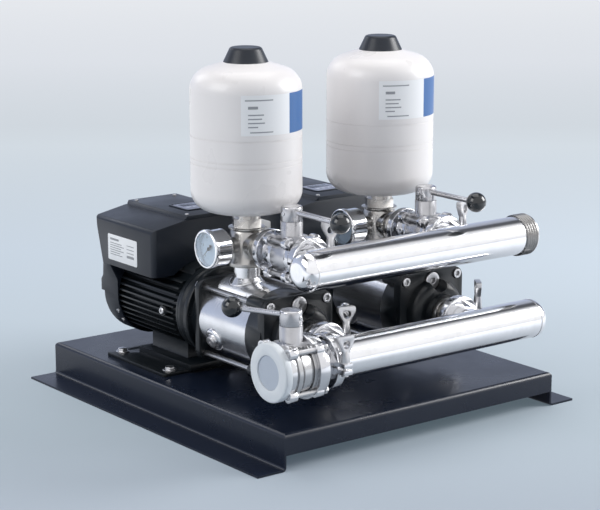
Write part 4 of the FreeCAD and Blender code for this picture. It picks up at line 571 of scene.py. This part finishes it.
def lathe(profile, steps=64, angle=FULL_TURN):
    """Spin a profile of (radius, height) points round Z."""
    deselect_all()
    bpy.ops.mesh.primitive_plane_add(size=MILLIMETRE)
    piece = bpy.context.object
    bpy.ops.object.mode_set(mode="EDIT")
    bpy.ops.mesh.merge(type="CENTER")
    radius, height = profile[0]
    bpy.ops.transform.translate(value=(radius, 0.0, height))
    for next_radius, next_height in profile[1:]:
        step = (next_radius - radius, 0.0, next_height - height)
        bpy.ops.mesh.extrude_vertices_move(TRANSFORM_OT_translate={"value": step})
        radius, height = next_radius, next_height
    bpy.ops.mesh.select_all(action="SELECT")
    bpy.ops.mesh.spin(steps=steps, angle=angle, center=(0.0, 0.0, 0.0), axis=(0.0, 0.0, 1.0))
    bpy.ops.mesh.select_all(action="SELECT")
    bpy.ops.mesh.remove_doubles(threshold=0.000002)
    bpy.ops.mesh.normals_make_consistent(inside=False)
    bpy.ops.object.mode_set(mode="OBJECT")
    return piece


def joined(pieces):
    """Join several meshes into the first one."""
    deselect_all()
    for piece in pieces:
        piece.select_set(True)
    bpy.context.view_layer.objects.active = pieces[0]
    if len(pieces) > 1:
        bpy.ops.object.join()
    return pieces[0]


def bar(centre, size):
    """A small straight bar, such as a dial's tick."""
    deselect_all()
    bpy.ops.mesh.primitive_cube_add(size=1.0, location=centre, scale=size)
    return settle(bpy.context.object)


def towards(origin, direction):
    """A matrix that takes +Z to a direction and the origin to a point."""
    turn = Vector((0.0, 0.0, 1.0)).rotation_difference(Vector(direction)).to_matrix().to_4x4()
    return Matrix.Translation(origin) @ turn


FLAT_ANGLE, EDGE_ANGLE, SMOOTH_ANGLE = math.radians(6), math.radians(32), 38


def softened(node, width):
    """A copy of a node's mesh, merged, with its sharp edges rounded."""
    piece = bpy.data.objects.new(node + "_rounded", frame["nodes"][node].data.copy())
    bpy.context.scene.collection.objects.link(piece)
    activate(piece)
    bpy.ops.object.mode_set(mode="EDIT")
    bpy.ops.mesh.select_all(action="SELECT")
    bpy.ops.mesh.remove_doubles(threshold=0.000005)
    bpy.ops.mesh.customdata_custom_splitnormals_clear()
    bpy.ops.mesh.mark_sharp(clear=True)
    bpy.ops.mesh.dissolve_limited(angle_limit=FLAT_ANGLE)
    bpy.ops.object.mode_set(mode="OBJECT")
    apply_modifier(piece, "BEVEL", width=width, segments=2, limit_method="ANGLE",
                   angle_limit=EDGE_ANGLE, use_clamp_overlap=True, harden_normals=False)
    return smooth(piece, SMOOTH_ANGLE)


def body_of(node):
    """The body that a node of the frame belongs to."""
    return frame["nodes"][node]["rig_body"]


def pump_spot(side, x, y, z):
    """A place in millimetres from the middle of a pump's shaft line, +Y to its motor."""
    return SHAFT[side] + Vector((x, y, z)) * MILLIMETRE


def plate(width, height, thickness, corner, border=None):
    """A flat plate or an open frame with round corners, facing +Z."""
    deselect_all()
    bpy.ops.mesh.primitive_plane_add(size=1.0)
    piece = bpy.context.object
    piece.scale = (width, height, 1.0)
    settle(piece)
    bpy.ops.object.mode_set(mode="EDIT")
    bpy.ops.mesh.select_all(action="SELECT")
    bpy.ops.mesh.bevel(offset=corner, segments=4, affect="VERTICES")
    if border:
        bpy.ops.mesh.select_all(action="SELECT")
        bpy.ops.mesh.inset(thickness=border)
        bpy.ops.mesh.delete(type="FACE")
    bpy.ops.object.mode_set(mode="OBJECT")
    apply_modifier(piece, "SOLIDIFY", thickness=thickness, offset=1.0)
    apply_modifier(piece, "BEVEL", width=thickness * 0.35, segments=2, limit_method="ANGLE")
    return piece


def screw_head(radius, height, socket):
    """A round screw head with a recess, standing on +Z."""
    floor, side, top = height * 0.35, height * 0.7, radius * 0.8
    return lathe([(0.0, floor), (socket, floor), (socket, height), (top, height),
                  (radius, side), (radius, 0.0), (0.0, 0.0)], 32)


def ring_of(inner, outer, low, high):
    """A washer-like ring with a softened upper edge."""
    edge = (high - low) * 0.3
    return lathe([(inner, low), (outer, low), (outer, high - edge), (outer - edge, high),
                  (inner, high), (inner, low)], 48)


def thread(root, length, pitch, depth):
    """Thread crests round a bar that runs up from the origin."""
    count = int(length / pitch)
    core = root - MILLIMETRE
    profile = [(core, 0.0), (root, 0.0)]
    for turn in range(count):
        start = turn * pitch
        profile += [(root + depth, start + pitch * share) for share in CREST_FLAT]
        profile.append((root, start + pitch))
    profile += [(core, count * pitch), (core, 0.0)]
    return lathe(profile)


def set_down(pieces, name, finish, body="frame", degrees=35):
    """Join placed pieces into one finished piece."""
    piece = joined(pieces)
    smooth(piece, degrees)
    return finish_piece(piece, name, finish, body)


# Operators: one for each piece or group of like pieces

class PUMP_OT_finishes(bpy.types.Operator):
    """Make every finish and put it on the frame's nodes"""

    bl_idname = "pump.finishes"
    bl_label = "Finishes"

    def execute(self, context):
        make_finishes()
        for name, node in frame["nodes"].items():
            material = finish_of(name)
            if not node.material_slots:
                node.data.materials.append(material)
            for slot in node.material_slots:
                slot.material = material
        return {"FINISHED"}


ROUNDED_NODES = {
    "casting_round": {
        "left_suction_head": "cast_black", "right_suction_head": "cast_black",
        "left_motor_bracket": "cast_black", "right_motor_bracket": "cast_black",
        "left_drive_box": "black_plastic", "right_drive_box": "black_plastic",
        "drive_lids": "black_plastic", "left_fan_cowl": "black_plastic",
        "right_fan_cowl": "black_plastic",
    },
    "machined_round": {
        "valve_bodies": "satin_steel", "valve_end_caps": "polished_steel",
        "cross_fittings": "nickel_plate", "tank_nipples": "nickel_plate",
        "suction_nipples": "nickel_plate", "clamp_rings": "polished_steel",
        "clamp_wing_nuts": "zinc_steel", "foot_bolts": "zinc_steel", "valve_bolts": "zinc_steel",
        "tie_rods": "zinc_steel", "pump_plugs": "zinc_steel", "sole_plates": "motor_paint",
        "inlet_cover": "white_plastic", "gauge_cases": "polished_steel",
        "left_motor_housing": "motor_paint", "right_motor_housing": "motor_paint",
        "left_discharge_handle": "satin_steel", "right_discharge_handle": "satin_steel",
        "inlet_handle": "satin_steel",
    },
}


class PUMP_OT_rounded_castings(bpy.types.Operator):
    """Round the sharp edges of castings, mouldings and fittings"""

    bl_idname = "pump.rounded_castings"
    bl_label = "Rounded castings"

    def execute(self, context):
        sizes = context.scene.pump_sizes
        for size_name, nodes in ROUNDED_NODES.items():
            for node, slot in nodes.items():
                piece = softened(node, getattr(sizes, size_name))
                material = finish_of(node)
                finish_piece(piece, node + "_rounded", material.name, body_of(node))
                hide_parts(node)
        return {"FINISHED"}


class PUMP_OT_threads(bpy.types.Operator):
    """Thread crests on the outlet stub and on the nipples"""

    bl_idname = "pump.threads"
    bl_label = "Threads"

    def execute(self, context):
        pitch = context.scene.pump_sizes.thread_pitch
        outlet = thread(OUTLET_RADIUS + THREAD_CLEARANCE, OUTLET_LENGTH, pitch * 2, OUTLET_CREST)
        settle(outlet, towards((OUTLET_X, DISCHARGE_AXIS.y, DISCHARGE_AXIS.z), TO_RIGHT))
        nipples = [
            settle(thread(root, length, pitch, NIPPLE_CREST),
                   towards(pump_spot(side, 0.0, start, height), TO_FRONT))
            for side in SIDES for root, length, height, start in NIPPLE_THREADS]
        set_down([outlet], "outlet_thread", "thread", degrees=25)
        set_down(nipples, "nipple_threads", "nickel", degrees=25)
        return {"FINISHED"}


def around(reach_x, reach_y):
    """Points round an oval, in pairs."""
    angles = [FULL_TURN * step / LOOP_STEPS for step in range(LOOP_STEPS)]
    return [(reach_x * math.cos(angle), reach_y * math.sin(angle)) for angle in angles]


def tube_along(points, radius):
    """A round bead along a closed line of points, made as a curve and turned into a mesh."""
    deselect_all()
    curve = bpy.data.curves.new("bead", "CURVE")
    curve.dimensions = "3D"
    curve.bevel_depth = radius
    curve.bevel_resolution = 4
    spline = curve.splines.new("POLY")
    spline.points.add(len(points) - 1)
    for index, (point, spot) in enumerate(zip(spline.points, points)):
        point.co = (*spot, 1.0)
        point.radius = 1.0 + RIPPLE * math.sin(index * RIPPLE_TURN)
    spline.use_cyclic_u = True
    bead = bpy.data.objects.new("bead", curve)
    bpy.context.scene.collection.objects.link(bead)
    activate(bead)
    bpy.ops.object.convert(target="MESH")
    return bpy.context.object


class PUMP_OT_weld_beads(bpy.types.Operator):
    """Weld beads where the branches meet the manifolds, and a seam on each manifold"""

    bl_idname = "pump.weld_beads"
    bl_label = "Weld beads"

    def execute(self, context):
        radius = context.scene.pump_sizes.weld_radius
        rim = around(BRANCH_RADIUS, BRANCH_RADIUS)
        meeting = [(x, math.sqrt(PIPE_RADIUS ** 2 - z ** 2), z) for x, z in rim]
        beads = [
            settle(tube_along(meeting, radius), Matrix.Translation((PUMP_X[side], axis.y, axis.z)))
            for axis in (SUCTION_AXIS, DISCHARGE_AXIS) for side in SIDES]
        for axis, end in SEAMS:
            seam = ring_of(PIPE_RADIUS - SEAM_SINK, PIPE_RADIUS + SEAM_RISE, -SEAM_HALF, SEAM_HALF)
            beads.append(settle(seam, towards((end, axis.y, axis.z), TO_RIGHT)))
        set_down(beads, "weld_beads", "satin", degrees=60)
        return {"FINISHED"}


class PUMP_OT_valve_drums(bpy.types.Operator):
    """Turned rings that make up the inlet valve's drum, and the dish of its cover"""

    bl_idname = "pump.valve_drums"
    bl_label = "Valve drums"

    def execute(self, context):
        drum = lathe([(radius * MILLIMETRE, height * MILLIMETRE) for radius, height in DRUM_PROFILE], 96)
        settle(drum, towards(VALVES["inlet"], TO_RIGHT))
        set_down([drum], "inlet_valve_drum", "turned_x", degrees=30)
        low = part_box("inlet_cover")[0]
        dish = lathe([(0.0, 0.0), (DISH_RADIUS, 0.0), (DISH_RADIUS, DISH_SHEET),
                      (0.0, DISH_SHEET), (0.0, 0.0)])
        place = Vector((low.x + DISH_DEPTH, VALVES["inlet"].y, VALVES["inlet"].z))
        settle(dish, towards(place, TO_LEFT))
        set_down([dish], "inlet_cover_dish", "cover_dish")
        return {"FINISHED"}


class PUMP_OT_sleeve_trim(bpy.types.Operator):
    """Fillet round each riser's foot and a raised ring round each drain plug"""

    bl_idname = "pump.sleeve_trim"
    bl_label = "Sleeve trim"

    def execute(self, context):
        foot = [(x, y, math.sqrt(SLEEVE_RADIUS ** 2 - x ** 2)) for x, y in around(*RISER_REACH)]
        out = Vector((-math.cos(DRAIN_TURN), 0.0, -math.sin(DRAIN_TURN)))
        trim = []
        for side in SIDES:
            at_riser = Matrix.Translation(pump_spot(side, *RISER_PLACE, 0.0))
            at_drain = pump_spot(side, 0.0, DRAIN_SETBACK, 0.0) + out * (SLEEVE_RADIUS - DRAIN_SINK)
            trim.append(settle(tube_along(foot, RISER_BEAD), at_riser))
            trim.append(settle(lathe(DRAIN_RING, 48), towards(at_drain, out)))
        set_down(trim, "sleeve_trim", "sleeve", degrees=50)
        return {"FINISHED"}


class PUMP_OT_drive_trim(bpy.types.Operator):
    """Lid screws, keypad with its frame, and a blank nameplate on each drive"""

    bl_idname = "pump.drive_trim"
    bl_label = "Drive trim"

    def execute(self, context):
        for side in SIDES:
            keypad = pump_spot(side, *KEYPAD_PLACE)
            on_wall = Matrix.Translation(pump_spot(side, WALL_LEFT, *NAMEPLATE)) @ FACE_LEFT
            first_x, first_y = BUTTON_START
            rim = settle(plate(*KEYPAD_RIM, border=RIM_BORDER),
                         Matrix.Translation(keypad - Vector((0.0, 0.0, RIM_SINK))))
            window = settle(plate(*KEYPAD_WINDOW),
                            Matrix.Translation(keypad + Vector((0.0, WINDOW_SHIFT, 0.0))))
            buttons = [
                settle(plate(*BUTTON), Matrix.Translation(
                    keypad + Vector((first_x + column * BUTTON_PITCH, first_y, 0.0))))
                for column in range(BUTTON_COUNT)]
            screws = [
                settle(screw_head(*LID_SCREW), Matrix.Translation(pump_spot(side, x, y, LID_TOP)))
                for x, y in LID_SCREWS]
            card = settle(plate(*NAMEPLATE_CARD), on_wall)
            rows = [
                settle(plate(length * MILLIMETRE, height * MILLIMETRE, ROW_THICKNESS, ROW_CORNER),
                       on_wall @ Matrix.Translation((x * MILLIMETRE, y * MILLIMETRE, ROW_LIFT)))
                for x, y, length, height in NAMEPLATE_ROWS]
            for pieces, name, finish, slot in (
                    ([rim], "keypad_rim", "moulding", "black_plastic"),
                    ([window], "keypad_window", "window", "keypad_plastic"),
                    (buttons, "keypad_buttons", "button", "keypad_plastic"),
                    (screws, "lid_screws", "zinc", "zinc_steel"),
                    ([card], "nameplate", "label", "tank_paint"),
                    (rows, "nameplate_rows", "print_grey", "tank_paint")):
                set_down(pieces, f"{side}_{name}", finish)
        return {"FINISHED"}


class PUMP_OT_small_fixings(bpy.types.Operator):
    """Cowl screws, earth screws, washers, air guides and the pins of the handles"""

    bl_idname = "pump.small_fixings"
    bl_label = "Small fixings"

    def execute(self, context):
        fixings, bosses, guides = [], [], []
        for side in SIDES:
            for degrees, y in COWL_SCREWS:
                bearing = math.radians(degrees)
                out = Vector((math.cos(bearing), 0.0, math.sin(bearing)))
                place = pump_spot(side, 0.0, y, 0.0) + out * COWL_RADIUS
                fixings.append(settle(screw_head(*COWL_SCREW), towards(place, out)))
            at_boss, at_screw = pump_spot(side, *EARTH_BOSS_PLACE), pump_spot(side, *EARTH_SCREW_PLACE)
            bosses.append(settle(lathe(EARTH_BOSS, 40), towards(at_boss, TO_LEFT)))
            fixings.append(settle(screw_head(*EARTH_SCREW), towards(at_screw, TO_LEFT)))
            for x, y in FOOT_BOLTS:
                fixings.append(settle(ring_of(*WASHER), Matrix.Translation(pump_spot(side, x, y, SOLE_TOP))))
            at_guide = pump_spot(side, 0.0, AIR_GUIDE, 0.0)
            guides.append(settle(ring_of(*GUIDE_RING), towards(at_guide, TO_MOTOR)))
        set_down(fixings, "screws_and_washers", "zinc")
        set_down(bosses, "earth_bosses", "casting")
        set_down(guides, "air_guides", "moulding")
        for valve, place in VALVES.items():
            kind = valve.rsplit("_", 1)[-1]
            side_way = Vector(PIN_SIDE[kind]).normalized()
            at_hub = place + Vector((0.0, 0.0, HUB_LIFT[kind])) + side_way * HUB_RADIUS
            pin = settle(screw_head(*HUB_PIN), towards(at_hub, side_way))
            set_down([pin], f"{valve}_hub_pin", "shaft", f"{valve}_lever")
        return {"FINISHED"}


def curved_sheet(radius, low, high, start, end, thickness, steps):
    """A thin sheet on a round wall, between two heights and two bearings in degrees."""
    profile = [(radius, low), (radius, (low + high) / 2), (radius, high)]
    sheet = lathe(profile, steps, math.radians(end - start))
    apply_modifier(sheet, "SOLIDIFY", thickness=thickness, offset=1.0)
    sheet.rotation_euler = (0.0, 0.0, math.radians(end))
    return settle(sheet)


class PUMP_OT_tank_labels(bpy.types.Operator):
    """Bare labels on the tanks: a pale sheet, a coloured band and blank rules"""

    bl_idname = "pump.tank_labels"
    bl_label = "Tank labels"

    def execute(self, context):
        height = context.scene.pump_sizes.label_height
        for side in SIDES:
            low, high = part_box(f"{side}_tank_shell")
            radius = (high.x - low.x) / 2 + LABEL_GAP
            centre = Matrix.Translation(((low.x + high.x) / 2, (low.y + high.y) / 2, LABEL_BOTTOM))
            for name, start, end, thickness, steps, finish in (
                    ("label", LABEL_START, BAND_START, LABEL_SHEET, 48, "label"),
                    ("band", BAND_START, BAND_END, BAND_SHEET, 20, "label_band")):
                sheet = settle(curved_sheet(radius, 0.0, height, start, end, thickness, steps), centre)
                finish_piece(smooth(sheet, 50), f"{side}_tank_{name}", finish)
            rules = joined([
                curved_sheet(radius + RULE_GAP, height * bottom, height * top, first, last, RULE_SHEET, 24)
                for bottom, top, first, last in LABEL_RULES])
            finish_piece(settle(rules, centre), f"{side}_tank_rules", "print_grey")
        return {"FINISHED"}


def numeral(text, size):
    """A number as a thin mesh plate, facing +Z."""
    deselect_all()
    bpy.ops.object.text_add()
    piece = bpy.context.object
    piece.data.body = text
    piece.data.size = size
    piece.data.align_x = "CENTER"
    piece.data.align_y = "CENTER"
    piece.data.extrude = NUMBER_SHEET
    piece.data.resolution_u = 3
    bpy.ops.object.convert(target="MESH")
    return bpy.context.object


class PUMP_OT_dial_marks(bpy.types.Operator):
    """Ticks and plain numbers on the gauge dials"""

    bl_idname = "pump.dial_marks"
    bl_label = "Dial marks"

    def execute(self, context):
        low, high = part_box("gauge_dials")
        for side in SIDES:
            centre = Vector((0.0, NEEDLE[side].y, NEEDLE[side].z))
            centre.x = low.x if side == "left" else high.x - DIAL_THICKNESS
            marks = []
            for step in range(DIAL_STEPS + 1):
                bearing = math.radians(DIAL_ZERO - DIAL_SWEEP * step / DIAL_STEPS)
                major = step % MAJOR_EVERY == 0
                length, width = MAJOR_TICK if major else MINOR_TICK
                tick = bar((DIAL_RADIUS - length / 2, 0.0, TICK_SHEET / 2), (length, width, TICK_SHEET))
                marks.append(settle(tick, Matrix.Rotation(bearing, 4, "Z")))
                if major:
                    number = numeral(str(step // MAJOR_EVERY * NUMBER_STEP), NUMBER_SIZE)
                    reach = DIAL_RADIUS - NUMBER_INSET
                    spot = (reach * math.cos(bearing), reach * math.sin(bearing), NUMBER_LIFT)
                    marks.append(settle(number, Matrix.Translation(spot)))
            face = settle(joined(marks), Matrix.Translation(centre) @ FACE_LEFT)
            finish_piece(face, f"{side}_dial_marks", "print_black")
        return {"FINISHED"}


class PUMP_OT_needles(bpy.types.Operator):
    """Tapered gauge needles with a round hub and a counterweight"""

    bl_idname = "pump.needles"
    bl_label = "Needles"

    def execute(self, context):
        for side in SIDES:
            low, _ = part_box(f"{side}_gauge_needle")
            blade = bar((BLADE_MIDDLE, 0.0, 0.0), BLADE)
            bpy.ops.object.mode_set(mode="EDIT")
            bpy.ops.mesh.select_all(action="DESELECT")
            bpy.ops.object.mode_set(mode="OBJECT")
            for vertex in blade.data.vertices:
                vertex.select = vertex.co.x > BLADE_MIDDLE
            bpy.ops.object.mode_set(mode="EDIT")
            bpy.ops.transform.resize(value=(1.0, TIP_SHARE, 1.0), center_override=(BLADE_TIP, 0.0, 0.0))
            bpy.ops.object.mode_set(mode="OBJECT")
            hub = lathe(NEEDLE_HUB, 32)
            weight = settle(lathe(NEEDLE_WEIGHT, 24), Matrix.Translation((WEIGHT_PLACE, 0.0, 0.0)))
            needle = joined([blade, hub, weight])
            settle(needle, Matrix.Rotation(math.radians(DIAL_ZERO), 4, "Z"))
            place = Vector((low.x + NEEDLE_LIFT, NEEDLE[side].y, NEEDLE[side].z))
            smooth(settle(needle, Matrix.Translation(place) @ FACE_LEFT), 30)
            finish_piece(needle, f"{side}_needle_blade", "print_black", f"{side}_needle")
            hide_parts(f"{side}_gauge_needle")
        return {"FINISHED"}


class PUMP_OT_stage(bpy.types.Operator):
    """Floor, world, lamps and camera"""

    bl_idname = "pump.stage"
    bl_label = "Stage"

    def execute(self, context):
        build_floor()
        build_world()
        build_lamps()
        build_camera()
        context.scene.view_settings.view_transform = "Standard"
        return {"FINISHED"}


VIEW_X, VIEW_Y = 0.609, 0.793
FLOOR_NEAR, FLOOR_FAR = -0.6, 6.6
FLOOR_GLOW = (
    (0.00, (0.036, 0.047, 0.076)),
    (0.06, (0.075, 0.105, 0.125)),
    (0.22, (0.20, 0.235, 0.275)),
    (0.40, (0.487, 0.532, 0.57)),
    (0.65, (0.645, 0.672, 0.715)),
    (1.00, (0.745, 0.765, 0.797)),
)
FLOOR_TINT = (
    (0.00, (0.36, 0.40, 0.44)),
    (0.22, (0.36, 0.40, 0.44)),
    (0.45, (0.14, 0.15, 0.16)),
    (1.00, (0.06, 0.06, 0.06)),
)
FLOOR_SIZE = 40.0
# Painted reflection on the floor: tones that only glossy rays see, dark near a line through the machine and
# pale further to each side
MIRROR_NEAR, MIRROR_FAR = 0.15, 1.3
FLOOR_PAINTED_REFLECTION = (
    (0.00, (0.060, 0.065, 0.080)),
    (0.20, (0.12, 0.125, 0.14)),
    (0.50, (0.62, 0.62, 0.65)),
    (1.00, (0.86, 0.86, 0.89)),
)
SKY_LIGHT, SKY_STRENGTH = (0.92, 0.95, 1.0), 0.38
SKY_SEEN = (0.765, 0.785, 0.82)
# Painted reflection in the sky: dark bands and bright softbox strips, by the ray's angle round X, that only
# glossy rays see; no lamp stands there
SKY_PAINTED_REFLECTION = (
    (0.00, (0.56, 0.64, 0.84)),
    (0.30, (0.44, 0.47, 0.56)),
    (0.38, (0.10, 0.105, 0.12)),
    (0.48, (0.12, 0.125, 0.14)),
    (0.56, (0.90, 0.90, 0.93)),
    (0.66, (1.20, 1.20, 1.22)),
    (0.97, (1.12, 1.12, 1.14)),
    (1.00, (1.02, 1.02, 1.05)),
)


def tone_ramp(tree, value, stops):
    """A colour ramp with its own stops."""
    ramp = tree.nodes.new("ShaderNodeValToRGB")
    points = ramp.color_ramp.elements
    while len(points) < len(stops):
        points.new(1.0)
    for point, (position, colour) in zip(points, stops):
        point.position = position
        point.color = (*colour, 1.0)
    tree.links.new(value, ramp.inputs["Fac"])
    return ramp.outputs["Color"]


def distance_along(tree, place, direction):
    """How far a place lies along a direction."""
    node = tree.nodes.new("ShaderNodeVectorMath")
    node.operation = "DOT_PRODUCT"
    node.inputs[1].default_value = direction
    tree.links.new(place, node.inputs[0])
    return node.outputs["Value"]


def floor_material():
    """A floor that gets paler both ways from a line before the machine; glossy rays see other tones, a
    painted reflection that is dark near a line through the machine and pale to each side.
    """
    material = bpy.data.materials.new("studio_floor")
    material.use_nodes = True
    tree = material.node_tree
    shader = tree.nodes["Principled BSDF"]
    place = tree.nodes.new("ShaderNodeTexCoord").outputs["Object"]
    along = arithmetic(tree, "SUBTRACT", distance_along(tree, place, (VIEW_X, VIEW_Y, 0.0)), FLOOR_NEAR)
    away = map_range(tree, arithmetic(tree, "ABSOLUTE", along), 0.0, 1.0, 0.0, FLOOR_FAR - FLOOR_NEAR)
    sideways = arithmetic(tree, "ABSOLUTE", distance_along(tree, place, (VIEW_Y, -VIEW_X, 0.0)))
    painted_reflection_share = map_range(tree, sideways, 0.0, 1.0, MIRROR_NEAR, MIRROR_FAR)
    is_mirrored = tree.nodes.new("ShaderNodeLightPath").outputs["Is Glossy Ray"]
    # Glossy rays see the floor's painted reflection tones, all other rays see its glow
    glow = mixed_colour(
        tree, is_mirrored, tone_ramp(tree, away, FLOOR_GLOW), tone_ramp(tree, painted_reflection_share, FLOOR_PAINTED_REFLECTION))
    tree.links.new(tone_ramp(tree, away, FLOOR_TINT), shader.inputs["Base Color"])
    tree.links.new(glow, shader.inputs["Emission Color"])
    for label, value in (("Emission Strength", 1.0), ("Roughness", 0.8), ("Specular IOR Level", 0.15)):
        shader.inputs[label].default_value = value
    return material


def build_floor():
    """A wide floor, which isn't part of the machine."""
    deselect_all()
    bpy.ops.mesh.primitive_plane_add(size=FLOOR_SIZE)
    floor = bpy.context.object
    floor.name = "studio_floor"
    floor.data.materials.append(floor_material())


def background(tree, colour, strength=1.0):
    """A background shader of one colour, or of a socket's."""
    node = tree.nodes.new("ShaderNodeBackground")
    node.inputs["Strength"].default_value = strength
    if isinstance(colour, tuple):
        node.inputs["Color"].default_value = (*colour, 1.0)
    else:
        tree.links.new(colour, node.inputs["Color"])
    return node.outputs["Background"]


def build_world():
    """An even sky for light, a painted reflection of dark bands and bright softbox strips that only glossy
    rays see, and a pale one that the camera sees.
    """
    world = bpy.data.worlds.new("studio")
    bpy.context.scene.world = world
    world.use_nodes = True
    tree = world.node_tree
    tree.nodes.clear()
    paths = tree.nodes.new("ShaderNodeLightPath")
    split = tree.nodes.new("ShaderNodeSeparateXYZ")
    tree.links.new(tree.nodes.new("ShaderNodeTexCoord").outputs["Generated"], split.inputs["Vector"])
    swing = arithmetic(tree, "ARCTAN2", split.outputs["Z"], split.outputs["Y"])
    # Glossy rays see the painted reflection, camera rays the pale backdrop, all other rays the even sky
    painted_reflection = tone_ramp(tree, map_range(tree, swing, 0.0, 1.0, 0.0, math.pi), SKY_PAINTED_REFLECTION)
    sky = background(tree, SKY_LIGHT, SKY_STRENGTH)
    for is_ray, seen in (("Is Glossy Ray", painted_reflection), ("Is Camera Ray", SKY_SEEN)):
        choice = tree.nodes.new("ShaderNodeMixShader")
        tree.links.new(paths.outputs[is_ray], choice.inputs["Fac"])
        tree.links.new(sky, choice.inputs[1])
        tree.links.new(background(tree, seen), choice.inputs[2])
        sky = choice.outputs["Shader"]
    output = tree.nodes.new("ShaderNodeOutputWorld")
    tree.links.new(sky, output.inputs["Surface"])


LAMPS = (
    ("key_lamp", (-2.5, 0.3, 1.8), (0.0, 0.0, 0.2), 1.6, 34.0),
    ("top_lamp", (0.2, 0.3, 2.6), (0.0, 0.0, 0.2), 2.0, 24.0),
    ("right_lamp", (2.5, -1.35, 1.5), (0.0, 0.0, 0.2), 1.6, 82.0),
    ("back_lamp", (-0.6, 2.6, 1.9), (0.0, 0.0, 0.3), 1.2, 8.0),
)


def build_lamps():
    """Square soft lamps, each turned to the machine."""
    for name, place, target, size, energy in LAMPS:
        light = bpy.data.lights.new(name, "AREA")
        light.energy = energy
        light.size = size
        lamp = bpy.data.objects.new(name, light)
        bpy.context.scene.collection.objects.link(lamp)
        lamp.location = place
        lamp.rotation_euler = (Vector(target) - Vector(place)).to_track_quat("-Z", "Y").to_euler()


# The camera's place is measured from the pumps' axis datum

CAMERA_PLACE = (-1.76485, -2.30592, 0.86475)
CAMERA_TURN = (77.33, 0.0, -37.53)
CAMERA_LENS = 117.75
CAMERA_SENSOR = 36.0


def build_camera():
    """The camera, at the photograph's viewing angle."""
    data = bpy.data.cameras.new("studio_camera")
    data.sensor_fit = "HORIZONTAL"
    data.sensor_width = CAMERA_SENSOR
    data.lens = CAMERA_LENS
    data.clip_end = 50.0
    camera = bpy.data.objects.new("studio_camera", data)
    camera.location = Vector(CAMERA_PLACE) + Vector((0.0, SHAFT["left"].y, 0.0))
    camera.rotation_euler = [math.radians(angle) for angle in CAMERA_TURN]
    bpy.context.scene.collection.objects.link(camera)
    bpy.context.scene.camera = camera


class PUMP_PT_panel(bpy.types.Panel):
    """Sidebar list of the pump's steps"""

    bl_idname = "PUMP_PT_panel"
    bl_label = "Booster Pump"
    bl_space_type = "VIEW_3D"
    bl_region_type = "UI"
    bl_category = "Booster Pump"

    def draw(self, context):
        layout = self.layout
        for settings in (context.scene.pump_sizes, context.scene.pump_colours):
            for name in settings.__annotations__:
                layout.prop(settings, name)
        for step in STEPS:
            layout.operator(step.bl_idname)


STEPS = (
    PUMP_OT_finishes,
    PUMP_OT_rounded_castings,
    PUMP_OT_threads,
    PUMP_OT_weld_beads,
    PUMP_OT_valve_drums,
    PUMP_OT_sleeve_trim,
    PUMP_OT_drive_trim,
    PUMP_OT_small_fixings,
    PUMP_OT_tank_labels,
    PUMP_OT_dial_marks,
    PUMP_OT_needles,
    PUMP_OT_stage,
)
CLASSES = (PumpColours, PumpSizes, *STEPS, PUMP_PT_panel)


def register():
    for item in CLASSES:
        bpy.utils.register_class(item)
    bpy.types.Scene.pump_colours = bpy.props.PointerProperty(type=PumpColours)
    bpy.types.Scene.pump_sizes = bpy.props.PointerProperty(type=PumpSizes)


def unregister():
    del bpy.types.Scene.pump_sizes
    del bpy.types.Scene.pump_colours
    for item in reversed(CLASSES):
        bpy.utils.unregister_class(item)


def main():
    register()
    for step in STEPS:
        family, name = step.bl_idname.split(".")
        getattr(getattr(bpy.ops, family), name)()


if __name__ == "__main__":
    main()
